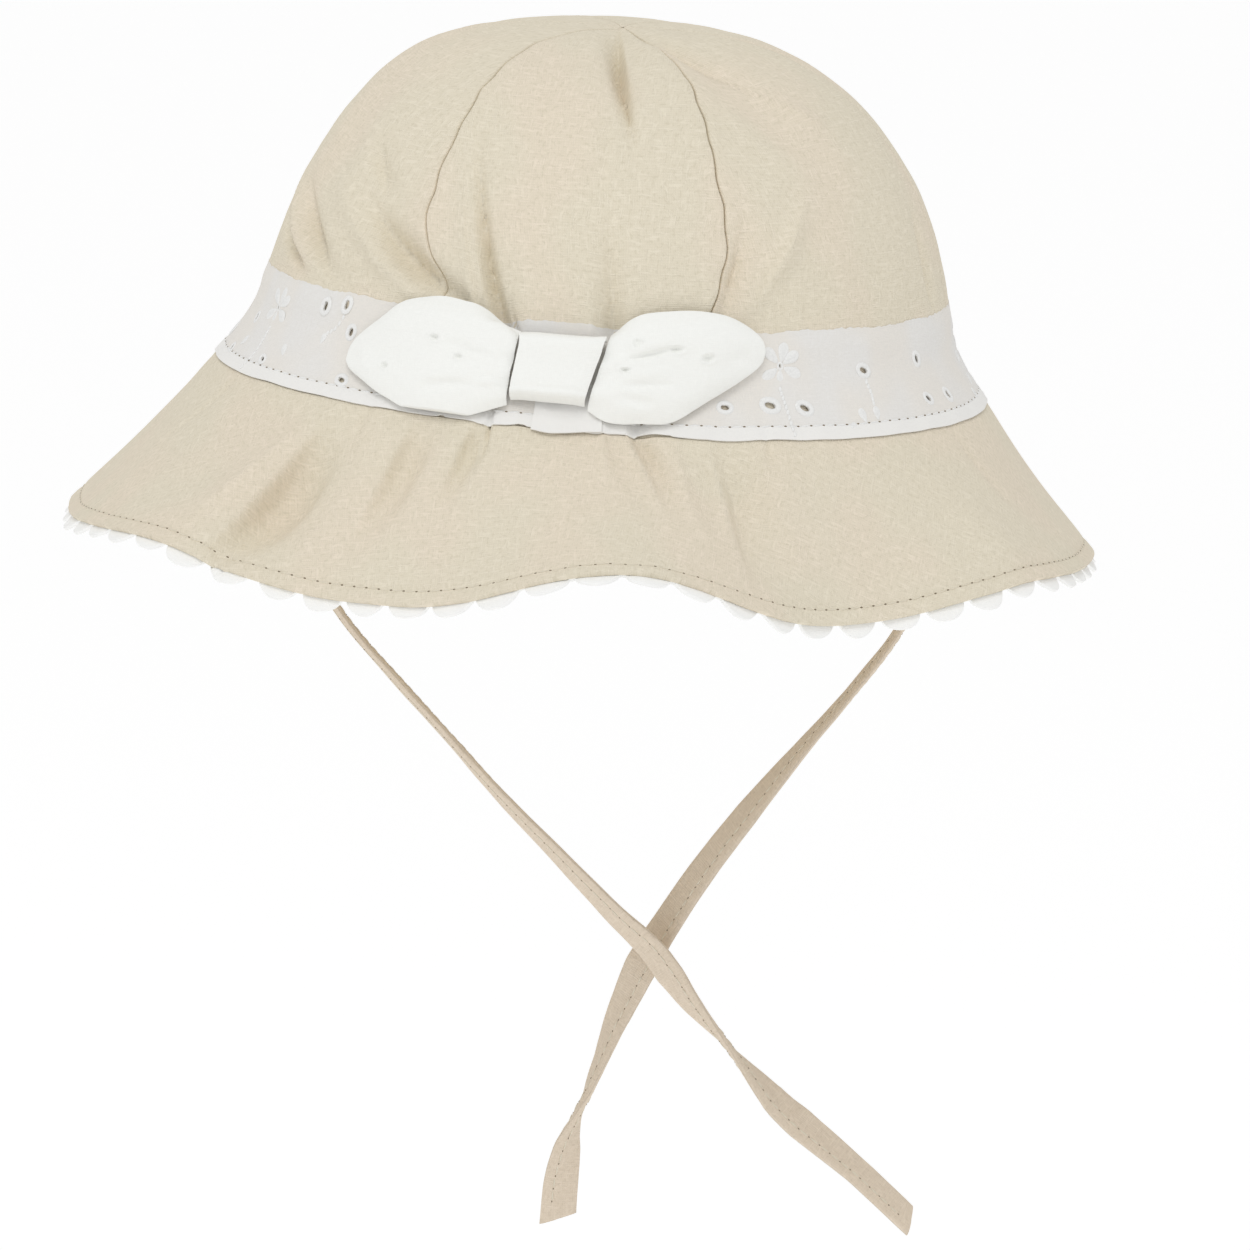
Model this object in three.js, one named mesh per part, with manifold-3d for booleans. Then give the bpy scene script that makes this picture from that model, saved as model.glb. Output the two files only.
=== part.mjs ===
// A child's sun hat: six-gore crown, wavy two-ply brim with a scalloped edging, an eyelet band, a bow and
// two chin ties. Millimetres, +Z up. The origin is the middle of the crown's inner face at the top, where the
// head carries the hat. The front faces -Y, and +X is on the right of someone who looks at the front.

import * as THREE from "three";
import { mergeVertices } from "three/addons/utils/BufferGeometryUtils.js";
import Module from "manifold-3d";

const wasm = await Module();
wasm.setup();

// Crown
const crownHeight = 77;
const seamDroop = 3.2;
const droopAzimuth = 35;
const seamHalfWidth = 84.3;
const seamHalfDepth = 72.5;
const crownWall = 1.2;
const crownEye = 0.6;
const crownLean = 1.2;
const dentDepth = 2.4;
const dentWidth = 9;

// Brim and its edging
const brimLength = 44;
const brimSideDrift = 3.2;
const brimWall = 1.6;
const brimFoldDepth = 1.8;
const brimFoldWidth = 7;
const trimWall = 1;
const trimTuck = 3;
const trimShow = 2.3;
const trimNotch = -0.6;
const scallopPitch = 10.6;
const scallopFullness = 0.6;

// Band
const bandHeight = 20.5;
const bandFootGap = 0.6;
const bandWall = 1;
const eyeletWidth = 1.3;
const eyeletHeight = 2;

// Bow
const bowRise = 11;
const bowLift = 0.4;
const wingHalfHeight = 12.6;
const leftWingReach = 41;
const rightWingReach = 35;
const wingThickness = 3;
const wingEdge = 1.2;
const wingSwell = 3.4;
const wingFilling = 1.3;
const gatherDepth = 0.7;
const knotTopWidth = 17.3;
const knotFootWidth = 15.8;
const knotHeight = 15;
const knotLean = 1.9;
const knotThickness = 5.6;
const knotEdge = 0.75;
const knotSquareness = 6;

// Ties
const tieWidth = 8;
const tieThickness = 1.2;
const tieEndSlant = 3;

// Clearance between pieces that are sewn together
const gap = 0.3;

// Facets
const frontGoreColumns = 12;
const sideGoreColumns = 9;
const backGoreColumns = 6;
const bandColumns = 72;
const bandRows = 2;
const brimColumns = 120;
const brimRows = 4;
const trimStepsPerScallop = 3;
const eyeletSides = 6;
const wingCells = 8;
const knotCells = 6;
const tieStepsPerPoint = 2;

// Search steps for a height on the profile, and the share of a face over which its slope is taken
const profileSearchSteps = 40;
const slopeStep = 0.002;

// Crown profile from the top to the seam: shares of crownHeight and of the seam's half width.
const crownRows = [
  { down: 0, out: 0 },
  { down: 0.006, out: 0.17 },
  { down: 0.032, out: 0.34 },
  { down: 0.09, out: 0.49 },
  { down: 0.17, out: 0.6 },
  { down: 0.27, out: 0.69 },
  { down: 0.39, out: 0.767 },
  { down: 0.52, out: 0.824 },
  { down: 0.64, out: 0.862 },
  { down: 0.745, out: 0.886 },
  { down: 0.845, out: 0.908 },
  { down: 0.93, out: 0.95 },
  { down: 1, out: 1 },
];

// Gore seams by azimuth, and where the gathers under the bow draw them to at the band.
const seams = [
  { azimuth: -29, drawnTo: -22 },
  { azimuth: 29, drawnTo: 25 },
  { azimuth: 90, drawnTo: 90 },
  { azimuth: 150, drawnTo: 150 },
  { azimuth: 210, drawnTo: 210 },
  { azimuth: 270, drawnTo: 270 },
];
const drawStart = 0.48;
const drawEnd = 0.74;

// Gores from one seam to the next, with their facets across.
const gores = [
  { name: "crown_panel_front", columns: frontGoreColumns },
  { name: "crown_panel_front_right", columns: sideGoreColumns },
  { name: "crown_panel_back_right", columns: backGoreColumns },
  { name: "crown_panel_back", columns: backGoreColumns },
  { name: "crown_panel_back_left", columns: backGoreColumns },
  { name: "crown_panel_front_left", columns: sideGoreColumns },
];

// Dents of the crown: azimuths at their two ends, their start and end down the profile, where they are
// deepest, and width and depth as shares of dentWidth and dentDepth. A negative depth is a ridge.
const crownDents = [
  { from: 8, to: 10.5, top: 0.03, foot: 0.42, deepest: 0.4, width: 0.9, depth: 1 },
  { from: -21.5, to: -8, top: 0.44, foot: 0.8, deepest: 0.85, width: 0.8, depth: 0.8 },
  { from: 7, to: 8.4, top: 0.5, foot: 0.8, deepest: 0.8, width: 0.8, depth: 0.5 },
  { from: -48, to: -22, top: 0.42, foot: 0.76, deepest: 0.6, width: 1.1, depth: 0.6 },
  { from: -66, to: -56, top: 0.22, foot: 0.72, deepest: 0.5, width: 1.2, depth: 0.5 },
  { from: 34, to: 54, top: 0.12, foot: 0.5, deepest: 0.5, width: 1.2, depth: 0.7 },
  { from: 29, to: 35, top: 0.5, foot: 0.79, deepest: 0.6, width: 1.2, depth: 0.7 },
  { from: 112, to: 124, top: 0.2, foot: 0.7, deepest: 0.5, width: 1.4, depth: 0.6 },
  { from: 178, to: 184, top: 0.15, foot: 0.65, deepest: 0.5, width: 1.4, depth: 0.7 },
  { from: 238, to: 250, top: 0.3, foot: 0.74, deepest: 0.6, width: 1.4, depth: 0.6 },
  { from: -75, to: -75, top: 0.1, foot: 0.4, deepest: 0.5, width: 3.5, depth: -0.35 },
];

// Waves of the brim: its angle from vertical at each crest and lobe, in degrees round the hat.
const brimWaves = [
  { azimuth: -180, flare: 41 },
  { azimuth: -152, flare: 33 },
  { azimuth: -118, flare: 42 },
  { azimuth: -82, flare: 41 },
  { azimuth: -48, flare: 49 },
  { azimuth: -24, flare: 34 },
  { azimuth: -16, flare: 34.5 },
  { azimuth: 11.5, flare: 58 },
  { azimuth: 39, flare: 29.5 },
  { azimuth: 66, flare: 45 },
  { azimuth: 92, flare: 40 },
  { azimuth: 126, flare: 33 },
  { azimuth: 156, flare: 43 },
  { azimuth: 180, flare: 41 },
];
const brimSpring = 0.7;

// Folds of the brim: as the crown's dents, with top and foot as shares of the brim's length.
const brimFolds = [
  { from: -32, to: -39.3, top: 0, foot: 1.1, deepest: 0.45, width: 1, depth: 0.85 },
  { from: -18.5, to: -25, top: 0, foot: 0.9, deepest: 0.35, width: 0.9, depth: 0.8 },
  { from: -9, to: -15, top: 0, foot: 0.6, deepest: 0.25, width: 0.7, depth: 0.8 },
  { from: 10, to: 16, top: 0, foot: 0.7, deepest: 0.25, width: 0.7, depth: 0.8 },
  { from: 21.5, to: 25, top: 0, foot: 0.95, deepest: 0.35, width: 0.9, depth: 0.9 },
  { from: 60, to: 66, top: 0.1, foot: 1.1, deepest: 0.6, width: 1.4, depth: -0.6 },
  { from: 118, to: 128, top: 0, foot: 1.1, deepest: 0.5, width: 1.5, depth: 0.8 },
  { from: 168, to: 174, top: 0, foot: 1.1, deepest: 0.5, width: 1.5, depth: -0.8 },
  { from: 212, to: 206, top: 0, foot: 1.1, deepest: 0.5, width: 1.5, depth: 0.8 },
  { from: 262, to: 258, top: 0.1, foot: 1.1, deepest: 0.6, width: 1.4, depth: -0.6 },
  { from: 88, to: 88, top: 0, foot: 1, deepest: 0.4, width: 5, depth: 0.6 },
];

// Eyelets of one embroidered sprig: degrees from its flower, height as a share of the band's, and size as a
// share of the eyelet's.
const rightSprig = [
  { across: 0, up: 0.66, size: 0.9 },
  { across: -10.3, up: 0.27, size: 1 },
  { across: -2.7, up: 0.29, size: 1 },
  { across: 3.3, up: 0.26, size: 1 },
  { across: 17.1, up: 0.58, size: 0.9 },
  { across: 32.3, up: 0.62, size: 1 },
  { across: 31.8, up: 0.24, size: 1 },
  { across: 39, up: 0.23, size: 1 },
];
const leftSprig = [
  { across: 0, up: 0.66, size: 0.9 },
  { across: 15.4, up: 0.82, size: 1 },
  { across: 20.6, up: 0.88, size: 1 },
  { across: 23.3, up: 0.62, size: 0.9 },
  { across: 25.8, up: 0.16, size: 0.9 },
  { across: -8.2, up: 0.48, size: 0.6 },
  { across: -9.9, up: 0.13, size: 0.6 },
  { across: 4.7, up: 0.16, size: 0.6 },
];
const sprigs = [
  { flower: -61.6, eyelets: leftSprig },
  { flower: 36.9, eyelets: rightSprig },
  { flower: 100, eyelets: leftSprig },
  { flower: 141, eyelets: rightSprig },
  { flower: 203, eyelets: leftSprig },
  { flower: 238, eyelets: rightSprig },
];

// Sections of the bow's wings from the knot to the tip: shares of the reach, of the half height, and of the
// swell that lifts the wing off the band.
const leftWingRows = [
  { reach: 0, middle: -0.04, half: 0.64, swell: 0.7 },
  { reach: 0.12, middle: -0.02, half: 0.82, swell: 0.9 },
  { reach: 0.31, middle: 0, half: 0.99, swell: 1 },
  { reach: 0.5, middle: 0.01, half: 1, swell: 0.9 },
  { reach: 0.69, middle: 0, half: 0.82, swell: 0.7 },
  { reach: 0.84, middle: -0.1, half: 0.55, swell: 0.4 },
  { reach: 0.95, middle: -0.2, half: 0.29, swell: 0.1 },
  { reach: 1, middle: -0.26, half: 0.08, swell: 0 },
];
const rightWingRows = [
  { reach: 0, middle: 0, half: 0.66, swell: 0.7 },
  { reach: 0.12, middle: 0.08, half: 0.88, swell: 0.9 },
  { reach: 0.3, middle: 0.13, half: 0.95, swell: 1 },
  { reach: 0.52, middle: 0.17, half: 0.93, swell: 0.9 },
  { reach: 0.7, middle: 0.3, half: 0.74, swell: 0.7 },
  { reach: 0.84, middle: 0.37, half: 0.53, swell: 0.4 },
  { reach: 0.95, middle: 0.38, half: 0.29, swell: 0.1 },
  { reach: 1, middle: 0.36, half: 0.08, swell: 0 },
];
const wingGathers = 3;

// Routes of the ties, from the inside of the side seam to the free end. turn is the twist in degrees: at 0 the
// tape faces the front, at 90 it is edge on.
const leftTieRoute = [
  { x: -80, y: -4, z: -75, turn: 90 },
  { x: -78.5, y: -4.6, z: -83, turn: 88 },
  { x: -75.5, y: -5.6, z: -93, turn: 84 },
  { x: -70.5, y: -7, z: -106, turn: 78 },
  { x: -62.5, y: -8.6, z: -120, turn: 73 },
  { x: -53, y: -10, z: -133.3, turn: 70 },
  { x: -41.3, y: -12, z: -144.8, turn: 69 },
  { x: -27.8, y: -13.5, z: -157.5, turn: 67 },
  { x: -15.5, y: -15, z: -169.2, turn: 62 },
  { x: -2.1, y: -16, z: -181.1, turn: 54 },
  { x: 11.8, y: -16.5, z: -193.6, turn: 45 },
  { x: 19.9, y: -16.5, z: -200.4, turn: 34 },
  { x: 24.6, y: -16.5, z: -205.9, turn: 30 },
  { x: 30.2, y: -16, z: -212.9, turn: 48 },
  { x: 38.9, y: -15, z: -221.9, turn: 80 },
  { x: 48.4, y: -14, z: -232, turn: 122 },
  { x: 54.8, y: -13.5, z: -237.4, turn: 135 },
  { x: 67.4, y: -12.5, z: -246.9, turn: 122 },
  { x: 80, y: -12, z: -257.4, turn: 120 },
];
const rightTieRoute = [
  { x: 79.6, y: -3, z: -75, turn: 90 },
  { x: 78.8, y: -3.4, z: -83, turn: 88 },
  { x: 77, y: -4.4, z: -98, turn: 85 },
  { x: 74, y: -5.6, z: -114, turn: 82 },
  { x: 69.4, y: -7, z: -127.3, turn: 79 },
  { x: 59.4, y: -8, z: -142.1, turn: 77 },
  { x: 49, y: -9, z: -155.8, turn: 68 },
  { x: 38.6, y: -10, z: -170.1, turn: 49 },
  { x: 29.7, y: -10, z: -183.3, turn: 43 },
  { x: 21.9, y: -10, z: -196.5, turn: 36 },
  { x: 17.1, y: -10, z: -205.9, turn: 22 },
  { x: 14, y: -10, z: -213.6, turn: 38 },
  { x: 11.6, y: -10, z: -219.9, turn: 50 },
  { x: 9.3, y: -10.5, z: -227.2, turn: 64 },
  { x: 7.2, y: -11, z: -233.6, turn: 74 },
  { x: 4.6, y: -11.3, z: -241.2, turn: 98 },
  { x: 3.1, y: -12, z: -247.6, turn: 130 },
  { x: 2.2, y: -12, z: -255, turn: 154 },
  { x: 1.9, y: -12, z: -263.4, turn: 164 },
];

// Corners of the tape's section: shares of its width and thickness.
const tapeSection = [
  { wide: 0.5, thick: 0.25 },
  { wide: 0.45, thick: 0.5 },
  { wide: -0.45, thick: 0.5 },
  { wide: -0.5, thick: 0.25 },
  { wide: -0.5, thick: -0.25 },
  { wide: -0.45, thick: -0.5 },
  { wide: 0.45, thick: -0.5 },
  { wide: 0.5, thick: -0.25 },
];

const crownProfile = new THREE.SplineCurve(
  crownRows.map((row) => new THREE.Vector2(row.out * seamHalfWidth, row.down * crownHeight)),
);
const depthPerWidth = seamHalfDepth / seamHalfWidth;
const degree = Math.PI / 180;

// Rises smoothly from 0 to 1 as the value goes from start to end.
function ease(value, start, end) {
  const share = THREE.MathUtils.clamp((value - start) / (end - start), 0, 1);
  return (1 - Math.cos(Math.PI * share)) / 2;
}

// The signed way round from one azimuth to another, in degrees from -180 to 180.
function turnBetween(azimuth, other) {
  return THREE.MathUtils.euclideanModulo(azimuth - other + 180, 360) - 180;
}

// How deep a table of folds presses the cloth in at a place, in shares of the fold depth.
function foldPress(folds, azimuth, along, radius, foldWidth) {
  let press = 0;
  for (const fold of folds) {
    if (along <= fold.top || along >= fold.foot) continue;
    const share = (along - fold.top) / (fold.foot - fold.top);
    const middle = THREE.MathUtils.lerp(fold.from, fold.to, share);
    const aside = turnBetween(azimuth, middle) * degree * radius;
    const reach = Math.abs(aside) / (fold.width * foldWidth);
    if (reach >= 1) continue;
    const ends = share < fold.deepest ? ease(share, 0, fold.deepest) : 1 - ease(share, fold.deepest, 1);
    press += fold.depth * ends * Math.cos((reach * Math.PI) / 2) ** 2;
  }
  return press;
}

// Outward direction of the seam's oval at an azimuth.
function ovalOutward(azimuth) {
  const angle = azimuth * degree;
  return new THREE.Vector3(depthPerWidth * Math.sin(angle), -Math.cos(angle), 0).normalize();
}

// How far the seam hangs below its highest point at an azimuth. It hangs lowest at droopAzimuth.
function droopAt(azimuth) {
  return seamDroop * ((1 + Math.cos((azimuth - droopAzimuth) * degree)) / 2) ** 2;
}

// A point of the crown's outer face. along runs from 0 at the top to 1 at the seam.
function crownPoint(azimuth, along) {
  const profile = crownProfile.getPoint(along);
  const down = profile.y / crownHeight;
  const angle = azimuth * degree;
  const press = dentDepth * foldPress(crownDents, azimuth, along, profile.x, dentWidth);
  const height = crownWall - profile.y - droopAt(azimuth) * down * down;
  const lean = crownLean * Math.sin(Math.PI * down) ** 2;
  const point = new THREE.Vector3(
    lean + profile.x * Math.sin(angle),
    -profile.x * depthPerWidth * Math.cos(angle),
    height,
  );
  const tilt = Math.atan2(profile.y, profile.x);
  const inward = ovalOutward(azimuth).multiplyScalar(-Math.sin(tilt));
  inward.z = -Math.cos(tilt);
  return point.addScaledVector(inward, press);
}

// The angle from vertical at which the crown's cloth reaches the seam.
const seamTangent = crownProfile.getTangent(1);
const seamFlare = Math.atan2(seamTangent.x, seamTangent.y);

// The brim's angle from vertical at an azimuth.
function brimFlare(azimuth) {
  const here = turnBetween(azimuth, 0);
  const next = Math.max(1, brimWaves.findIndex((wave) => wave.azimuth >= here));
  const before = brimWaves[next - 1];
  const after = brimWaves[next];
  const share = ease(here, before.azimuth, after.azimuth);
  return THREE.MathUtils.lerp(before.flare, after.flare, share) * degree;
}

// The brim's length from the seam to the hem: the cut is longest on the left side.
function brimLengthAt(azimuth) {
  return brimLength - brimSideDrift * Math.sin(azimuth * degree);
}

// A point of the brim's outer face. along runs from 0 at the seam to 1 at the hem.
function brimPoint(azimuth, along) {
  const flare = brimFlare(azimuth);
  const length = brimLengthAt(azimuth);
  const outward = ovalOutward(azimuth);
  const start = crownPoint(azimuth, 1);
  const slope = outward.clone().multiplyScalar(Math.sin(flare));
  slope.z = -Math.cos(flare);
  const up = outward.clone().multiplyScalar(Math.cos(flare));
  up.z = Math.sin(flare);
  const spring = brimSpring * length * Math.tan(seamFlare - flare) * along * (1 - along);
  const press = brimFoldDepth * foldPress(brimFolds, azimuth, along, seamHalfWidth, brimFoldWidth);
  return start.addScaledVector(slope, gap + length * along).addScaledVector(up, spring - press);
}

// The outward normal of a face at an azimuth and a share along it.
function normalOf(face, azimuth, along) {
  const around = face(azimuth + 1, along).sub(face(azimuth - 1, along));
  const above = Math.max(along - slopeStep, slopeStep / 4);
  const downward = face(azimuth, along + slopeStep).sub(face(azimuth, above));
  return downward.cross(around).normalize();
}

// A point at a height over a face, measured along the face's normal.
function over(face, azimuth, along, lift) {
  return face(azimuth, along).addScaledVector(normalOf(face, azimuth, along), lift);
}

// The share along the crown's profile at which it has come down by a depth.
function alongAtDepth(depth) {
  let low = 0;
  let high = 1;
  for (let pass = 0; pass < profileSearchSteps; pass++) {
    const middle = (low + high) / 2;
    if (crownProfile.getPoint(middle).y < depth) low = middle;
    else high = middle;
  }
  return high;
}

// A geometry whose faces point outwards, from points and triangles.
function closedGeometry(points, triangles) {
  let volume = 0;
  for (const [a, b, c] of triangles) volume += points[a].dot(points[b].clone().cross(points[c]));
  const outward = volume < 0 ? triangles.map(([a, b, c]) => [a, c, b]) : triangles;
  const geometry = new THREE.BufferGeometry().setFromPoints(points);
  geometry.setIndex(outward.flat());
  geometry.computeVertexNormals();
  return geometry;
}

// A wall of cloth between a front grid and a back grid of points, given as functions of a column and a row.
// A ring's last column joins its first.
function clothWall(columns, rows, front, back, ring = false) {
  const points = [];
  const triangles = [];
  const lines = ring ? columns : columns + 1;
  for (const face of [front, back]) {
    for (let column = 0; column < lines; column++) {
      for (let row = 0; row <= rows; row++) points.push(face(column, row));
    }
  }
  const at = (side, column, row) => (side * lines + (column % lines)) * (rows + 1) + row;
  const quad = (a, b, c, d) => triangles.push([a, b, c], [a, c, d]);
  for (let column = 0; column < columns; column++) {
    const next = column + 1;
    for (let row = 0; row < rows; row++) {
      quad(at(0, column, row), at(0, next, row), at(0, next, row + 1), at(0, column, row + 1));
      quad(at(1, column, row), at(1, column, row + 1), at(1, next, row + 1), at(1, next, row));
    }
    quad(at(0, column, 0), at(1, column, 0), at(1, next, 0), at(0, next, 0));
    quad(at(0, column, rows), at(0, next, rows), at(1, next, rows), at(1, column, rows));
  }
  if (!ring) {
    for (let row = 0; row < rows; row++) {
      quad(at(0, 0, row), at(0, 0, row + 1), at(1, 0, row + 1), at(1, 0, row));
      quad(at(0, columns, row), at(1, columns, row), at(1, columns, row + 1), at(0, columns, row + 1));
    }
  }
  return closedGeometry(points, triangles);
}

// Crown gores

// The azimuth of a seam at a share along the profile.
function seamAzimuth(seam, along) {
  const down = crownProfile.getPoint(along).y / crownHeight;
  return THREE.MathUtils.lerp(seam.azimuth, seam.drawnTo, ease(down, drawStart, drawEnd));
}

function gore(index, columns) {
  const rows = crownRows.length - 1;
  const seam = seams[index];
  const next = seams[(index + 1) % seams.length];
  const firstRowWidth = crownRows[1].out * seamHalfWidth;
  const eyeAlong = crownEye / firstRowWidth / rows;
  const place = (column, row) => {
    const along = row === 0 ? eyeAlong : row / rows;
    const wrap = index + 1 < seams.length ? 0 : 360;
    const radius = crownProfile.getPoint(along).x;
    const start = seamAzimuth(seam, along);
    const end = seamAzimuth(next, along) + wrap;
    const halfGap = (at) => {
      const stretch = Math.hypot(Math.cos(at * degree), depthPerWidth * Math.sin(at * degree));
      return gap / 2 / (radius * stretch) / degree;
    };
    const azimuth = THREE.MathUtils.lerp(start + halfGap(start), end - halfGap(end), column / columns);
    return [azimuth, along];
  };
  const outside = (column, row) => crownPoint(...place(column, row));
  const inside = (column, row) => over(crownPoint, ...place(column, row), -crownWall);
  return clothWall(columns, rows, outside, inside);
}

// Brim and edging

function brim() {
  const place = (column, row) => [(360 * column) / brimColumns, row / brimRows];
  const outside = (column, row) => brimPoint(...place(column, row));
  const inside = (column, row) => over(brimPoint, ...place(column, row), -brimWall);
  return clothWall(brimColumns, brimRows, outside, inside, true);
}

// The scalloped edging lies inside the hem and shows below it.
function brimTrim() {
  let hemLength = 0;
  for (let step = 0; step < brimColumns; step++) {
    const turn = 360 / brimColumns;
    hemLength += brimPoint(step * turn, 1).distanceTo(brimPoint((step + 1) * turn, 1));
  }
  const scallops = Math.round(hemLength / scallopPitch);
  const columns = scallops * trimStepsPerScallop;
  const place = (column, row) => {
    const phase = (column % trimStepsPerScallop) / trimStepsPerScallop;
    const bump = Math.sin(Math.PI * phase) ** scallopFullness;
    const show = THREE.MathUtils.lerp(trimNotch, trimShow, bump);
    const azimuth = (360 * column) / columns;
    const length = brimLengthAt(azimuth);
    return [azimuth, row === 0 ? 1 - trimTuck / length : 1 + show / length];
  };
  const outside = (column, row) => over(brimPoint, ...place(column, row), -brimWall - gap);
  const inside = (column, row) => over(brimPoint, ...place(column, row), -brimWall - gap - trimWall);
  return clothWall(columns, 1, outside, inside, true);
}

// Band

const bandTop = alongAtDepth(crownHeight - bandHeight);
const bandFoot = alongAtDepth(crownHeight - bandFootGap);

function toSolid(geometry) {
  const bare = new THREE.BufferGeometry();
  const source = geometry.index ? geometry.toNonIndexed() : geometry;
  bare.setAttribute("position", source.getAttribute("position"));
  const merged = mergeVertices(bare, 1e-4);
  const vertProperties = merged.getAttribute("position").array;
  const triVerts = new Uint32Array(merged.index.array);
  return new wasm.Manifold(new wasm.Mesh({ numProp: 3, vertProperties, triVerts }));
}

function toGeometry(solid) {
  const mesh = solid.getMesh();
  const geometry = new THREE.BufferGeometry();
  geometry.setAttribute("position", new THREE.BufferAttribute(mesh.vertProperties, 3));
  geometry.setIndex(new THREE.BufferAttribute(mesh.triVerts, 1));
  geometry.computeVertexNormals();
  return geometry;
}

// A six-sided punch through the band, long enough to clear both faces.
function eyeletPunch(azimuth, up, size) {
  const along = THREE.MathUtils.lerp(bandFoot, bandTop, up);
  const normal = normalOf(crownPoint, azimuth, along);
  const punchLength = 4 * bandWall;
  const punch = new THREE.CylinderGeometry(1 / 2, 1 / 2, punchLength, eyeletSides);
  punch.scale(eyeletWidth * size, 1, eyeletHeight * size);
  const side = new THREE.Vector3(0, 0, 1).cross(normal).normalize();
  const upward = normal.clone().cross(side);
  const frame = new THREE.Matrix4().makeBasis(side, normal, upward.negate());
  frame.setPosition(over(crownPoint, azimuth, along, gap + bandWall / 2));
  return toSolid(punch.applyMatrix4(frame));
}

function hatBand() {
  const place = (column, row) => [
    (360 * column) / bandColumns,
    THREE.MathUtils.lerp(bandTop, bandFoot, row / bandRows),
  ];
  const outside = (column, row) => over(crownPoint, ...place(column, row), gap + bandWall);
  const inside = (column, row) => over(crownPoint, ...place(column, row), gap);
  let solid = toSolid(clothWall(bandColumns, bandRows, outside, inside, true));
  for (const sprig of sprigs) {
    for (const eyelet of sprig.eyelets) {
      solid = solid.subtract(eyeletPunch(sprig.flower + eyelet.across, eyelet.up, eyelet.size));
    }
  }
  return toGeometry(solid);
}

// Bow

// A point over the band's middle, by its way round and up from the middle of the knot and its lift off the band.
function bowPoint(aside, up, lift) {
  const footSlant = 1 / Math.cos(seamFlare / 2);
  const along = alongAtDepth(Math.min(crownHeight - bowRise - up / footSlant, crownHeight));
  const azimuth = aside / crownProfile.getPoint(along).x / degree;
  return over(crownPoint, azimuth, along, gap + bandWall + bowLift + lift);
}

// The knot's half width and its shift to the right at a height from its middle. It leans and narrows downwards.
function knotAt(up) {
  const share = THREE.MathUtils.clamp(up / knotHeight, -0.5, 0.5);
  const width = THREE.MathUtils.lerp(knotFootWidth, knotTopWidth, share + 0.5);
  return { half: width / 2, shift: knotLean * share };
}

function bowWing(rows, reachLength, side) {
  const place = (column, row, isFront) => {
    const { reach, middle, half, swell } = rows[column];
    const across = (2 * row) / wingCells - 1;
    const up = (middle + half * across) * wingHalfHeight;
    const crown = 1 - across * across;
    const filling = crown * Math.min(1, wingFilling * half);
    const thickness = THREE.MathUtils.lerp(wingEdge, wingThickness, filling);
    const gather = gatherDepth * (1 - reach) * Math.cos(Math.PI * wingGathers * across) * crown;
    const back = wingSwell * swell * crown + gather + gatherDepth;
    const knot = knotAt(up);
    const aside = knot.shift + side * (knot.half + gap + reachLength * reach);
    return bowPoint(aside, up, isFront ? back + thickness : back);
  };
  const front = (column, row) => place(column, row, true);
  const back = (column, row) => place(column, row, false);
  return clothWall(rows.length - 1, wingCells, front, back);
}

function bowKnot() {
  const soften = (share) => 1 - Math.abs(2 * share - 1) ** knotSquareness;
  const place = (column, row, lift) => {
    const up = (row / knotCells - 0.5) * knotHeight;
    const knot = knotAt(up);
    return bowPoint(knot.shift + ((2 * column) / knotCells - 1) * knot.half, up, lift);
  };
  const front = (column, row) => {
    const crown = soften(column / knotCells) * soften(row / knotCells);
    return place(column, row, knotThickness * THREE.MathUtils.lerp(knotEdge, 1, crown));
  };
  const back = (column, row) => place(column, row, 0);
  return clothWall(knotCells, knotCells, front, back);
}

// Ties

function tie(route) {
  const path = new THREE.CatmullRomCurve3(
    route.map((stop) => new THREE.Vector3(stop.x, stop.y, stop.z)),
    false,
    "catmullrom",
    0.5,
  );
  const steps = (route.length - 1) * tieStepsPerPoint;
  const points = [];
  const triangles = [];
  for (let step = 0; step <= steps; step++) {
    const share = step / steps;
    const centre = path.getPoint(share);
    const tangent = path.getTangent(share);
    const stop = Math.min(Math.floor(step / tieStepsPerPoint), route.length - 2);
    const between = step / tieStepsPerPoint - stop;
    const turn = THREE.MathUtils.lerp(route[stop].turn, route[stop + 1].turn, between) * degree;
    const flat = new THREE.Vector3(0, -1, 0).cross(tangent).normalize();
    const away = tangent.clone().cross(flat);
    const wide = flat.clone().multiplyScalar(Math.cos(turn)).addScaledVector(away, Math.sin(turn));
    const thick = tangent.clone().cross(wide);
    const slant = step === steps ? tieEndSlant : 0;
    for (const corner of tapeSection) {
      const point = centre.clone().addScaledVector(wide, corner.wide * tieWidth);
      point.addScaledVector(thick, corner.thick * tieThickness);
      points.push(point.addScaledVector(tangent, slant * corner.wide));
    }
  }
  const sides = tapeSection.length;
  for (let step = 0; step < steps; step++) {
    for (let side = 0; side < sides; side++) {
      const a = step * sides + side;
      const b = step * sides + ((side + 1) % sides);
      triangles.push([a, b, b + sides], [a, b + sides, a + sides]);
    }
  }
  for (let side = 1; side < sides - 1; side++) {
    const last = steps * sides;
    triangles.push([0, side + 1, side], [last, last + side, last + side + 1]);
  }
  return closedGeometry(points, triangles);
}

// Materials

const linen = new THREE.MeshStandardMaterial({ color: 0xded4c0, roughness: 0.92, metalness: 0 });
const voile = new THREE.MeshStandardMaterial({ color: 0xe4e1da, roughness: 0.9, metalness: 0 });
const whiteCotton = new THREE.MeshStandardMaterial({ color: 0xf4f4f0, roughness: 0.9, metalness: 0 });

// The hat

const hat = new THREE.Group();

function addPiece(name, geometry, material) {
  const mesh = new THREE.Mesh(geometry, material);
  mesh.name = name;
  hat.add(mesh);
}

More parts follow.
